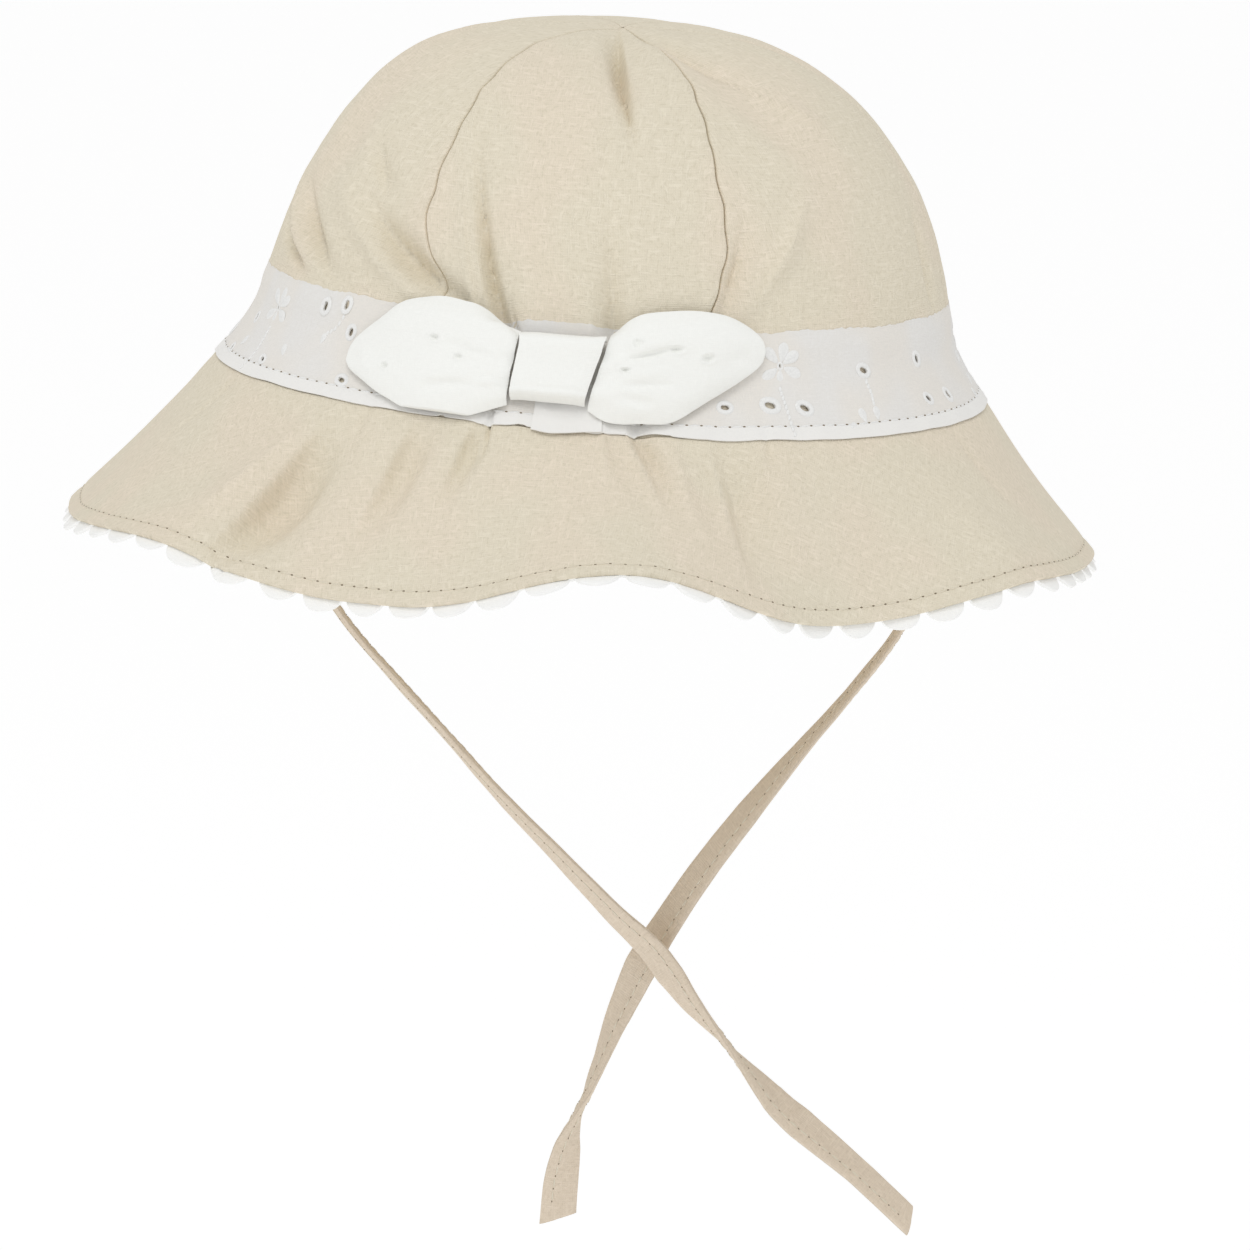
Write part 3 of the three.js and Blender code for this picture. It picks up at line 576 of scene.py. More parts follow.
def frames_on(surface, azimuth, second, lift=0.0, turn=0.0):
    """Matrices that put a small thing on a finished surface: its X lies round the hat, turned by an angle, and
    its Z points out."""
    azimuth, second, lift, turn = np.broadcast_arrays(
        *(np.atleast_1d(np.asarray(v, float)) for v in (azimuth, second, lift, turn))
    )
    around = surface.place(azimuth + SLOPE_TURN, second) - surface.place(azimuth - SLOPE_TURN, second)
    rise = surface.place(azimuth, second + surface.rise) - surface.place(azimuth, second - surface.rise)
    out = np.cross(around, rise)
    out /= np.linalg.norm(out, axis=-1, keepdims=True)
    around /= np.linalg.norm(around, axis=-1, keepdims=True)
    up = np.cross(out, around)
    origin = surface.place(azimuth, second) + out * lift[:, None]
    swing = (turn * DEGREE)[:, None]
    x_axis = around * np.cos(swing) + up * np.sin(swing)
    y_axis = up * np.cos(swing) - around * np.sin(swing)
    return [matrix_of(*axes) for axes in zip(origin, x_axis, y_axis, out)]


def matrix_of(place, x_axis, y_axis, z_axis):
    turn = Matrix([Vector(axis) for axis in (x_axis, y_axis, z_axis)]).transposed()
    return Matrix.Translation(Vector(place) * MM) @ turn.to_4x4()


def copies(name, model, matrices):
    """One mesh of many copies of a model, which is then removed."""
    made = bmesh.new()
    for matrix in matrices:
        start = len(made.verts)
        made.from_mesh(model.data)
        made.verts.ensure_lookup_table()
        bmesh.ops.transform(made, matrix=matrix, verts=made.verts[start:])
    mesh = bpy.data.meshes.new(name)
    made.to_mesh(mesh)
    made.free()
    obj = bpy.data.objects.new(name, mesh)
    bpy.context.collection.objects.link(obj)
    bpy.data.objects.remove(model)
    return obj


def apply_size(obj):
    only(obj)
    bpy.ops.object.transform_apply(location=True, rotation=True, scale=True)


# Materials

CLOTH_ROUGHNESS = 0.92


def add_node(tree, kind, inputs=None, **settings):
    """A node with its settings. An input is a value, or a socket to link from."""
    made = tree.nodes.new(kind)
    for name, value in settings.items():
        setattr(made, name, value)
    for key, value in (inputs or {}).items():
        if isinstance(value, bpy.types.NodeSocket):
            tree.links.new(value, made.inputs[key])
        else:
            made.inputs[key].default_value = value
    return made


def bare_material(name, roughness):
    material = bpy.data.materials.new(name)
    material.use_nodes = True
    shader = material.node_tree.nodes["Principled BSDF"]
    shader.inputs["Roughness"].default_value = roughness
    return material, material.node_tree, shader


def woven_cloth(name, light, dark, pitch, relief, slubs=0.3, specks=0.3, mottle=0.4, tint=None, doubled=None):
    """Plain-woven cloth. Its threads follow the flat cut, which the UV map gives in metres. Patches of it turn
    to a tint, and a hem that is doubled up to a height on the cut has a colour of its own."""
    material, tree, shader = bare_material(name, CLOTH_ROUGHNESS)

    def math_node(operation, first, second=0.0):
        return add_node(tree, "ShaderNodeMath", {0: first, 1: second}, operation=operation).outputs[0]

    def noise_on(vector, stretch, detail):
        scaled = add_node(tree, "ShaderNodeVectorMath", {0: vector, 1: stretch}, operation="MULTIPLY")
        return add_node(
            tree, "ShaderNodeTexNoise", {"Vector": scaled.outputs[0], "Scale": 1.0, "Detail": detail},
            noise_dimensions="2D",
        ).outputs[0]

    def stepped(value, start, end):
        return add_node(
            tree, "ShaderNodeMapRange", {0: value, 1: start, 2: end}, interpolation_type="SMOOTHSTEP"
        ).outputs[0]

    def blend(share, first, second):
        return add_node(
            tree, "ShaderNodeMix", {0: share, "A": first, "B": second}, data_type="RGBA"
        ).outputs["Result"]

    cut = add_node(tree, "ShaderNodeUVMap", uv_map="UVMap").outputs[0]
    threads = add_node(
        tree, "ShaderNodeVectorMath", {0: cut, "Scale": 1 / (pitch * MM)}, operation="SCALE"
    ).outputs[0]
    wander = add_node(
        tree, "ShaderNodeTexNoise", {"Vector": threads, "Scale": 0.07, "Detail": 1.0}, noise_dimensions="2D"
    ).outputs["Color"]
    swayed = add_node(
        tree, "ShaderNodeVectorMath", {0: wander, 1: (1.2, 1.2, 0.0), 2: threads}, operation="MULTIPLY_ADD"
    ).outputs[0]
    split = add_node(tree, "ShaderNodeSeparateXYZ", {0: swayed})
    ridges = [
        math_node("ABSOLUTE", math_node("SINE", math_node("MULTIPLY", split.outputs[axis], math.pi)))
        for axis in (0, 1)
    ]
    crossing = math_node("MULTIPLY", *ridges)
    slub = math_node(
        "MAXIMUM",
        stepped(noise_on(swayed, (0.9, 0.16, 0), 1.0), 0.55, 0.75),
        stepped(noise_on(swayed, (0.13, 0.9, 0), 1.0), 0.53, 0.73),
    )
    speck = stepped(noise_on(threads, (0.62, 0.62, 0), 1.0), 0.56, 0.72)
    fuzz = noise_on(threads, (0.35, 0.35, 0), 4.0)
    tone = math_node("ADD", math_node("MULTIPLY", crossing, 0.22), math_node("MULTIPLY", fuzz, mottle))
    tone = math_node("ADD", tone, math_node("MULTIPLY", slub, slubs))
    tone = math_node("SUBTRACT", tone, math_node("MULTIPLY", speck, specks))
    bright = (*light, 1)
    if tint:
        patches = stepped(noise_on(threads, (0.018, 0.018, 0), 1.0), 0.35, 0.65)
        bright = blend(patches, bright, (*tint, 1))
    colour = blend(math_node("ADD", tone, 0.35), (*dark, 1), bright)
    if doubled:
        height = add_node(tree, "ShaderNodeSeparateXYZ", {0: cut}).outputs[1]
        hem = stepped(height, (BAND_HEM + 0.3) * MM, (BAND_HEM - 0.3) * MM)
        colour = blend(hem, colour, (*doubled, 1))
    tree.links.new(colour, shader.inputs["Base Color"])
    height = math_node("ADD", math_node("MULTIPLY", crossing, 0.5), math_node("MULTIPLY", slub, 0.5))
    height = math_node("ADD", height, math_node("MULTIPLY", fuzz, 0.6))
    bump = add_node(tree, "ShaderNodeBump", {"Height": height, "Strength": 0.7, "Distance": relief * MM})
    tree.links.new(bump.outputs[0], shader.inputs["Normal"])
    return material


def thread_material(name, colour, roughness=0.6):
    """Sewing thread: fine noise in its colour, and a slight sheen."""
    material, tree, shader = bare_material(name, roughness)
    place = add_node(tree, "ShaderNodeTexCoord").outputs["Object"]
    tone = add_node(tree, "ShaderNodeTexNoise", {"Vector": place, "Scale": 2500.0, "Detail": 2.0})
    dark = tuple(0.8 * c for c in colour)
    shade = add_node(
        tree, "ShaderNodeMix", {0: tone.outputs[0], "A": (*dark, 1), "B": (*colour, 1)}, data_type="RGBA"
    )
    tree.links.new(shade.outputs["Result"], shader.inputs["Base Color"])
    bump = add_node(
        tree, "ShaderNodeBump", {"Height": tone.outputs[0], "Strength": 0.4, "Distance": 0.05 * MM}
    )
    tree.links.new(bump.outputs[0], shader.inputs["Normal"])
    return material


linen = woven_cloth(
    "linen", (0.79, 0.725, 0.59), (0.625, 0.565, 0.435), 0.5, 0.14, tint=(0.81, 0.72, 0.59)
)
# A darker copy of the linen for the ties: painted shade for the shadow that the ties hang in.
shaded_tape_linen = woven_cloth("shaded_tape_linen", (0.755, 0.65, 0.525), (0.6, 0.505, 0.39), 0.5, 0.1)
voile = woven_cloth(
    "sheer_voile", (0.80, 0.79, 0.77), (0.72, 0.70, 0.665), 0.34, 0.05, 0.2, 0.15, 0.4,
    tint=(0.81, 0.775, 0.72), doubled=(0.83, 0.82, 0.795),
)
white_cotton = woven_cloth("white_cotton", (0.91, 0.915, 0.885), (0.84, 0.845, 0.815), 0.38, 0.05, 0.15, 0.1)
trim_cotton = woven_cloth("trim_cotton", (0.94, 0.94, 0.925), (0.87, 0.87, 0.855), 0.45, 0.08, 0.2, 0.1)
white_thread = thread_material("white_thread", (0.9, 0.9, 0.885))
beige_thread = thread_material("beige_thread", (0.78, 0.715, 0.58))
# needle_shade is painted shade: its dark brown spheres stand for the shade inside the needle holes, which are not
# cut.
needle_shade = thread_material("needle_shade", (0.22, 0.17, 0.11), 0.95)


# Crown panels

# Section of a panel's edge, from its raw end under the panel to the shoulder at the seam: how far inside the
# panel, and the lift over its face.
EDGE_SECTION = np.array([
    (ALLOWANCE, -2.0), (3.6, -1.95), (1.5, -1.85), (0.55, -1.75), (0.13, -1.4), (0.1, -0.9), (0.14, -0.4),
    (0.34, -0.08), (0.8, 0.06), (2.2, 0.0),
])
FRONT_COLUMNS = 104
BACK_COLUMNS = 60
FRONT_ROWS = 130
BACK_ROWS = 80
TOP_ALONG = 0.0025
BAND_SINK = 0.35
MEETING_AZIMUTH = 12.0
MEETING_SHIFT = 0.058
MEETING_REACH = 0.3
SEAM_PULL_HEIGHT = 7.0


def seam_azimuth(seam, along):
    """The azimuth of a seam, which the gathers under the bow draw aside, and which wanders a little."""
    down = np.interp(along, ALONG_STEPS, DEPTH_STEPS) / CROWN_HEIGHT
    kinks = np.abs(np.sin(along * 31 + seam.azimuth)) * np.sin(along * 17 + seam.azimuth)
    wander = 0.45 * kinks + 0.12 * np.sin(along * 83 + seam.azimuth)
    drawn = mix(seam.azimuth, seam.drawn_to, ease(down, DRAW_START, DRAW_END))
    return drawn + wander / np.maximum(crown_radius(along), 20) / DEGREE


def on_gores(azimuth, along):
    """Azimuths and shares on the crown of a place on its gores, which meet a little before its highest point."""
    near = (1 - np.clip(along / MEETING_REACH, 0, 1)) ** 2 * MEETING_SHIFT
    angle, meeting = azimuth * DEGREE, MEETING_AZIMUTH * DEGREE
    aside = along * np.sin(angle) + near * math.sin(meeting)
    ahead = along * np.cos(angle) + near * math.cos(meeting)
    return np.arctan2(aside, ahead) / DEGREE, np.hypot(aside, ahead)


def height_at(along):
    """Height over the seam at a share along the crown."""
    return CROWN_HEIGHT - np.interp(along, ALONG_STEPS, DEPTH_STEPS)


def crown_relief(azimuth, along, from_seam=ALLOWANCE):
    """Creases, seam puckers and slack of the crown's cloth over its plain face. The band holds it flat, and the
    seam to the brim pulls it in where the brim is gathered."""
    radius = crown_radius(along)
    height = height_at(along)
    plain = crown_face(azimuth, along)
    crease = crease_press(CROWN_CREASES, azimuth, along, radius)
    near = np.exp(-from_seam / 5)
    pucker = near * (0.3 * ripple(plain, 7, 1) + 0.14 * ripple(plain, 3, 2))
    slack = 0.6 * ripple(plain, 26, 3) + 0.25 * ripple(plain, 10, 4)
    calm = ease(radius, 4, 26)
    free = ease(height, BAND_HEIGHT - BAND_GRIP, BAND_HEIGHT)
    pull = 1 - ease(height, 0, SEAM_PULL_HEIGHT)
    return (calm * (pucker + slack * ease(from_seam, 0, 5)) - crease) * free + brim_relief(azimuth, 0.0) * pull


def crown_panel(index):
    seam, following = SEAMS[index], SEAMS[(index + 1) % len(SEAMS)]
    wrap = 360 if index + 1 == len(SEAMS) else 0
    edge_columns = len(EDGE_SECTION) - 1
    is_front = "front" in PANELS[index]
    plain_columns = FRONT_COLUMNS if is_front else BACK_COLUMNS
    columns = plain_columns + 2 * edge_columns
    section = np.arange(edge_columns + 1)

    def shape(across, up):
        along = mix(1.0, TOP_ALONG, up)
        radius = crown_radius(along)
        start, end = seam_azimuth(seam, along), seam_azimuth(following, along) + wrap
        stretch = np.hypot(np.cos(start * DEGREE), SEAM_HALF_DEPTH / SEAM_HALF_WIDTH * np.sin(start * DEGREE))
        width = (end - start) * DEGREE * radius * stretch
        column = across * columns
        from_end = np.minimum(column, columns - column)
        small = np.minimum(1, width / 2 / (ALLOWANCE + 2))
        aside = np.interp(from_end, section, EDGE_SECTION[:, 0]) * small
        lift = np.interp(from_end, section, EDGE_SECTION[:, 1])
        shoulder = EDGE_SECTION[-1, 0] * small
        inner = (from_end - edge_columns) / (plain_columns / 2)
        aside = np.where(from_end > edge_columns, mix(shoulder, width / 2, inner), aside)
        share = np.where(column <= columns / 2, aside / width, 1 - aside / width)
        azimuth = mix(start, end, share)
        sink = BAND_SINK * (1 - ease(height_at(along), BAND_HEIGHT - 4, BAND_HEIGHT - 0.5))
        flat = np.stack([(share - 0.5) * width, (1 - along) * CROWN_HEIGHT * 1.45], -1)
        azimuth, along = on_gores(azimuth, along)
        lift = lift + crown_relief(azimuth, along, aside) - sink
        return over(crown_face, azimuth, along, lift), flat

    panel = cloth(PANELS[index] + "_cloth", columns, FRONT_ROWS if is_front else BACK_ROWS, shape)
    use(panel, "SOLIDIFY", thickness=CROWN_CLOTH * MM, offset=-1)
    smooth(panel, 60)
    dress(panel, linen, "linen", PANELS[index])
    return panel


# Brim

BRIM_COLUMNS = 768
BRIM_ROWS = 50
HEM_CROWDING = 1.3
# Section of the brim's upper edge inside the crown: share along the crown and lift over its face.
BRIM_ALLOWANCE = np.array([(0.935, -2.3), (0.975, -2.2), (0.995, -1.9)])


def brim_press(azimuth, along):
    """How deep the brim's creases and pleats are pressed in."""
    return crease_press(BRIM_CREASES, azimuth, along, SEAM_HALF_WIDTH) + pleat_press(BRIM_PLEATS, azimuth, along)


def brim_relief(azimuth, along):
    """Gathers, hem stitching and slack of the brim's cloth over its plain face."""
    plain = brim_face(azimuth, along)
    length = brim_length_at(azimuth)
    crease = brim_press(azimuth, along)
    from_hem = (1 - along) * length
    groove = 0.26 * np.exp(-(((from_hem - HEM_STITCH_INSET) / 0.9) ** 2))
    hem_pucker = 0.22 * np.exp(-np.abs(from_hem - HEM_STITCH_INSET) / 3) * ripple(plain * (1, 1, 0.3), 4, 5)
    top_pucker = 0.35 * np.exp(-along * length / 6) * ripple(plain * (1, 1, 0.2), 5, 6)
    slack = 0.7 * ripple(plain, 30, 7) + 0.25 * ripple(plain, 11, 8)
    return slack * ease(along, 0, 0.25) + hem_pucker + top_pucker - groove - crease


def ring_length(face, along):
    turns = np.linspace(-180, 180, 721)
    points = face(turns, along)
    return float(np.linalg.norm(np.diff(points, axis=0), axis=1).sum())


HEM_LENGTH = ring_length(brim_face, 1.0)
SEAM_LENGTH = ring_length(brim_face, 0.0)
HEM_STITCHES = round(HEM_LENGTH / STITCH_PITCH)


def brim_cut(azimuth, length):
    """Places on the brim's flat cut, a ring sector, whose weave stands upright at the front."""
    turn = turn_between(azimuth, 0) * DEGREE * math.sin(SEAM_FLARE)
    reach = SEAM_HALF_WIDTH / math.sin(SEAM_FLARE) + length
    return np.stack([reach * np.sin(turn), -reach * np.cos(turn)], -1)


def brim():
    allowance_rows = len(BRIM_ALLOWANCE)
    rows = BRIM_ROWS + allowance_rows

    def shape(across, up):
        azimuth = mix(-180.0, 180.0, across)
        row = rows * (1 - up)
        along = 1 - (1 - np.clip((row - allowance_rows) / BRIM_ROWS, 0, 1)) ** HEM_CROWDING
        place = over(brim_face, azimuth, along, brim_relief(azimuth, along))
        inside = row < allowance_rows - 0.5
        inner = np.clip(np.rint(row).astype(int), 0, allowance_rows - 1)
        tucked = over(crown_face, azimuth, BRIM_ALLOWANCE[inner, 0], BRIM_ALLOWANCE[inner, 1])
        place = np.where(inside[:, None], tucked, place)
        flat_length = np.where(inside, (row - allowance_rows) * 2, along * brim_length_at(azimuth))
        return place, brim_cut(azimuth, flat_length)

    piece = cloth("brim_cloth", BRIM_COLUMNS, rows, shape, ring=True)
    use(piece, "SOLIDIFY", thickness=BRIM_CLOTH * MM, offset=-1)
    use(piece, "BEVEL", width=0.35 * MM, segments=2, limit_method="ANGLE", angle_limit=math.radians(60))
    smooth(piece, 60)
    dress(piece, linen, "linen", "brim")
    return piece


# Scalloped edging

TRIM_STEPS = 17
TRIM_ROWS = 8
TRIM_HALF_BUMP = 0.44
TRIM_ROUNDNESS = 0.7
TRIM_GAP = 0.06


def brim_trim():
    scallops = round(HEM_LENGTH / SCALLOP_PITCH)
    columns = scallops * TRIM_STEPS

    def shape(across, up):
        azimuth = mix(0.0, 360.0, across)
        points = brim_face(azimuth, 1.0)
        phase = np.mod(across * scallops, 1)
        phase = phase + 0.1 * np.sin(2 * np.pi * phase) * ripple(points, 13, 20)
        bump = np.clip(1 - np.abs((phase - 0.5) / TRIM_HALF_BUMP) ** 2.2, 0, 1) ** TRIM_ROUNDNESS
        show = mix(TRIM_NOTCH, TRIM_SHOW + 0.8 * ripple(points, 9, 17), bump)
        length = brim_length_at(azimuth)
        down = 1 - up
        from_hem = mix(-TRIM_TUCK, show, down)
        along = 1 + from_hem / length
        wave = (0.45 * ripple(points, 9, 9) + 0.2 * ripple(points, 3, 18)) * ease(down, 0.3, 1)
        sewn_on = brim_relief(azimuth, np.minimum(along, 1.0)) - BRIM_CLOTH - TRIM_GAP
        flat = np.stack([across * HEM_LENGTH, from_hem], -1)
        return over(brim_face, azimuth, along, wave + sewn_on), flat

    piece = cloth("brim_edging", columns, TRIM_ROWS, shape, ring=True)
    use(piece, "SOLIDIFY", thickness=TRIM_CLOTH * MM, offset=-1)
    use(piece, "BEVEL", width=0.25 * MM, segments=2, limit_method="ANGLE", angle_limit=math.radians(60))
    smooth(piece, 60)
    dress(piece, trim_cotton, "white_cotton", "brim_trim")
    return piece


# Band

BAND_COLUMNS = 780
BAND_ROWS = 44


def over_brim(azimuth, along):
    """The brim's finished upper face."""
    return over(brim_face, azimuth, along, brim_relief(azimuth, along))


def over_band(azimuth, height, lift=0.0):
    """The band's finished outer face at a height over the seam. Below the seam its foot laps over the brim."""
    azimuth, height = np.broadcast_arrays(np.asarray(azimuth, float), np.asarray(height, float))
    along = along_at_depth(CROWN_HEIGHT - np.maximum(height, 0))
    below = np.maximum(-height, 0) / brim_length_at(azimuth)
    on_crown = over(crown_face, azimuth, along, crown_relief(azimuth, along))
    place = np.where((height >= 0)[..., None], on_crown, over_brim(azimuth, below))
    share = ease(height, -0.6, 1.2)[..., None]
    normal = mix(normal_of(brim_face, azimuth, below), normal_of(crown_face, azimuth, along), share)
    normal /= np.linalg.norm(normal, axis=-1, keepdims=True)
    return place + normal * (band_lift(place, height) + lift)[..., None]


def band_lift(place, height):
    """How far the band's outer face lies over the crown's cloth: its hem is doubled."""
    hem = 0.1 * (1 - ease(height, BAND_HEM - 0.3, BAND_HEM + 0.3))
    groove = 0.1 * np.exp(-(((height - BAND_HEM) / 0.45) ** 2))
    slack = 0.16 * ripple(place, 13, 11) + 0.1 * ripple(place, 5, 12)
    thinning = BAND_TOP_DROP * ease(height, BAND_HEIGHT - 4, BAND_HEIGHT - 0.5)
    return BAND_LIFT + hem - groove - thinning + slack * ease(height, 0, 3)


BAND_SURFACE = Surface(over_band, 0.6)
BRIM_SURFACE = Surface(over_brim, -0.015)


def sprig_parts(left, right):
    """Pairs of a flower's azimuth and what its sprig has, for every sprig of the band."""
    return [(flower, part) for flowers, parts in ((LEFT_FLOWERS, left), (RIGHT_FLOWERS, right))
            for flower in flowers for part in parts]


def sprig_eyelets():
    """All eyelets of the band: azimuth, height, turn and size."""
    return [
        (flower + eyelet.across, eyelet.up * BAND_HEIGHT, eyelet.turn, eyelet.size)
        for flower, eyelet in sprig_parts(LEFT_SPRIG, RIGHT_SPRIG)
    ]


def band_edges(azimuth):
    """How far the band's foot drops below the seam, and how far its frayed top rises over its plain line."""
    ring = np.stack([np.cos(azimuth * DEGREE), np.sin(azimuth * DEGREE), np.zeros_like(azimuth)], -1) * 84
    under_bow = np.exp(-((turn_between(azimuth, 2) / 20) ** 2))
    foot = BAND_LAP + 0.25 * ripple(ring, 12, 13) + 0.7 * under_bow * ripple(ring, 6, 14)
    top = 0.35 * ripple(ring, 10, 15) + 0.4 * ripple(ring, 1.3, 16)
    return foot, top


def hat_band():
    def shape(across, up):
        azimuth = mix(-180.0, 180.0, across)
        foot, top = band_edges(azimuth)
        height = mix(-foot, BAND_HEIGHT + top * ease(up, 0.9, 1), up)
        return over_band(azimuth, height), np.stack([across * SEAM_LENGTH, height], -1)

    piece = cloth("band_cloth", BAND_COLUMNS, BAND_ROWS, shape, ring=True)
    cut_eyelets(piece)
    use(piece, "SOLIDIFY", thickness=BAND_CLOTH * MM, offset=-1)
    smooth(piece, 60)
    dress(piece, voile, "sheer_voile", "hat_band")
    return piece


LAP_START = -2.6
LAP_END = 7.6
LAP_TOP = 8.5


def band_lap():
    """The band's end, which laps over its start under the knot."""
    def shape(across, up):
        azimuth = mix(LAP_START, LAP_END, across)
        foot = BAND_LAP + 0.3 + 1.0 * np.exp(-((across - 0.28) / 0.3) ** 2)
        height = mix(-foot, LAP_TOP, up)
        edge = 0.12 * np.minimum(1, 12 * np.minimum(across, 1 - across))
        lift = BAND_CLOTH + 0.12 + edge + 0.15 * ripple(np.stack([across * 9, up * 9, 0 * up], -1), 3, 19)
        return over_band(azimuth, height, lift), np.stack([across * 15, height * 0.2], -1)

    piece = cloth("band_lap", 40, 30, shape)
    use(piece, "SOLIDIFY", thickness=BAND_CLOTH * MM, offset=-1)
    smooth(piece, 60)
    dress(piece, voile, "sheer_voile")
    return piece


def cut_eyelets(piece):
    """Opens the band's eyelets: faces inside each oval go, and the cloth's edge is drawn to the oval."""
    work = bmesh.new()
    work.from_mesh(piece.data)
    for azimuth, height, turn, size in sprig_eyelets():
        frame_here = frames_on(BAND_SURFACE, azimuth, height, 0, turn)[0]
        into = frame_here.inverted()
        half_width, half_height = EYELET_WIDTH * size / 2 * MM, EYELET_HEIGHT * size / 2 * MM
        near = [v for v in work.verts if (v.co - frame_here.translation).length < 3 * MM]

        def reach(point):
            local = into @ point
            return math.hypot(local.x / half_width, local.y / half_height)

        inside = {f for v in near for f in v.link_faces if reach(f.calc_center_median()) < 1.05}
        rim = {v for f in inside for v in f.verts}
        bmesh.ops.delete(work, geom=list(inside), context="FACES")
        for vertex in rim:
            if vertex.is_valid and vertex.link_faces:
                local = into @ vertex.co
                grow = 1 / max(reach(vertex.co), 0.2)
                vertex.co = frame_here @ Vector((local.x * grow, local.y * grow, local.z))
    work.to_mesh(piece.data)
    work.free()


RIM_STEPS = 40
RIM_SECTION = 8
RIM_WIDTH = 1.15
RIM_HEIGHT = 0.26


def rim_model(half_width, half_height):
    """A flat satin-stitched ring round an eyelet, whose stitches are slight ridges across it."""
    bpy.ops.object.select_all(action="DESELECT")
    bpy.ops.mesh.primitive_torus_add(
        major_segments=RIM_STEPS, minor_segments=RIM_SECTION, major_radius=1.0, minor_radius=0.25
    )
    model = bpy.context.active_object
    for index, vertex in enumerate(model.data.vertices):
        angle = math.atan2(vertex.co.y, vertex.co.x)
        from_middle = (math.hypot(vertex.co.x, vertex.co.y) - 1) / 0.25
        stitch = 1.07 if (index // RIM_SECTION) % 2 else 0.97
        reach = RIM_WIDTH * (0.5 + from_middle / 2 * stitch)
        vertex.co = (
            (half_width + reach) * math.cos(angle) * MM,
            (half_height + reach) * math.sin(angle) * MM,
            vertex.co.z / 0.25 * RIM_HEIGHT * stitch * MM,
        )
    return model


def eyelet_rims():
    """Raised satin-stitched rims round the eyelets."""
    matrices = []
    for azimuth, height, turn, size in sprig_eyelets():
        matrices.append(frames_on(BAND_SURFACE, azimuth, height, 0.02, turn)[0] @ Matrix.Scale(size, 4))
    rims = copies("eyelet_rims", rim_model(EYELET_WIDTH / 2, EYELET_HEIGHT / 2), matrices)
    smooth(rims, 80)
    dress(rims, white_thread, "white_cotton")
    return rims


PETAL_START = 0.9
PETAL_LENGTH = 4.3
PETAL_WIDTH = 2.5
PETAL_HEIGHT = 0.45


def petal_model(start):
    """A satin-stitched petal, widest towards its tip, with ridges along its stitches."""
    bpy.ops.object.select_all(action="DESELECT")
    bpy.ops.mesh.primitive_uv_sphere_add(segments=24, ring_count=12, radius=0.5)
    model = bpy.context.active_object
    for index, vertex in enumerate(model.data.vertices):
        x, y, z = vertex.co
        fullness = 0.62 + 0.5 * ease(x, -0.5, 0.3)
        vertex.co = (
            (start + (x + 0.5) * PETAL_LENGTH) * MM,
            y * PETAL_WIDTH * fullness * MM,
            z * PETAL_HEIGHT * (1.15 if index % 2 else 0.95) * MM,
        )
    return model


def embroidery():
    """The flowers' petals, and the leaves of every sprig."""
    petals = []
    for flower in LEFT_FLOWERS + RIGHT_FLOWERS:
        petals += frames_on(BAND_SURFACE, flower, FLOWER_UP * BAND_HEIGHT, 0.02, PETAL_TURNS)
    flowers = copies("flower_petals", petal_model(PETAL_START), petals)
    leaves = [
        frames_on(BAND_SURFACE, flower + leaf.across, leaf.up * BAND_HEIGHT, 0.02, leaf.turn)[0]
        @ Matrix.Scale(leaf.size, 4)
        for flower, leaf in sprig_parts(LEFT_LEAVES, RIGHT_LEAVES)
    ]
    foliage = copies("sprig_leaves", petal_model(-PETAL_LENGTH / 2), leaves)
    for piece in (flowers, foliage):
        smooth(piece, 80)
        dress(piece, white_thread, "white_cotton")
    return [flowers, foliage]


STEM_WIDTH = 0.8
STEM_STITCH = 0.9


def sprig_stems():
    """Stem stitches, short and slanted, from the flowers to the hem."""
    matrices = []
    for flower, stem in sprig_parts(LEFT_STEMS, RIGHT_STEMS):
        points = np.array(stem)
        count = round(np.abs(np.diff(points[:, 1])).sum() * BAND_HEIGHT / STEM_STITCH) + 1
        at = curve_through(points, np.linspace(0, 1, count), open_ends=True)
        matrices += frames_on(BAND_SURFACE, flower + at[:, 0], at[:, 1] * BAND_HEIGHT, 0.0, 75)
    stems = copies("sprig_stems", stitch_model(STEM_STITCH * 1.5, STEM_WIDTH, 0.4), matrices)
    smooth(stems, 80)
    dress(stems, white_thread, "white_cotton")
    return stems


# Bow

def bow_place(aside, up):
    """Azimuth and share along the crown, from the way aside and up from the middle of the knot."""
    foot_slant = 1 / math.cos(SEAM_FLARE / 2)
    along = along_at_depth(np.minimum(CROWN_HEIGHT - BOW_RISE - up / foot_slant, CROWN_HEIGHT))
    return aside / crown_radius(along) / DEGREE, along


def bow_point(aside, up, lift):
    azimuth, along = bow_place(aside, up)
    return over(crown_face, azimuth, along, BOW_LIFT + lift)


def knot_at(up):
    """The knot's half width and its shift to the right at a height from its middle."""
    share = np.clip(up / KNOT_HEIGHT, -0.5, 0.5)
    return mix(KNOT_FOOT_WIDTH, KNOT_TOP_WIDTH, share + 0.5) / 2, KNOT_LEAN * share


def wing_press(creases, eyelets, aside, up):
    """How deep a wing's creases and eyelets are pressed in. Creases fade towards their ends."""
    press = np.zeros_like(aside)
    for crease in creases:
        start = np.array(crease.start)
        run = np.array(crease.end) - start
        length = np.linalg.norm(run)
        from_start = ((aside - start[0]) * run[0] + (up - start[1]) * run[1]) / length ** 2
        off = np.abs((aside - start[0]) * run[1] - (up - start[1]) * run[0]) / length
        profile = np.cos(np.clip(off / crease.reach, 0, 1) * np.pi / 2) ** 2
        press += crease.depth * profile * np.sin(np.pi * np.clip(from_start, 0, 1)) ** CREASE_FADE
    for eyelet in eyelets:
        reach = np.hypot((aside - eyelet.aside) / eyelet.across, (up - eyelet.up) / eyelet.tall)
        press += PIT_DEPTH * np.clip(1 - reach ** 2, 0, 1) - PIT_RING * np.exp(-(((reach - 1.5) / 0.35) ** 2))
    return press


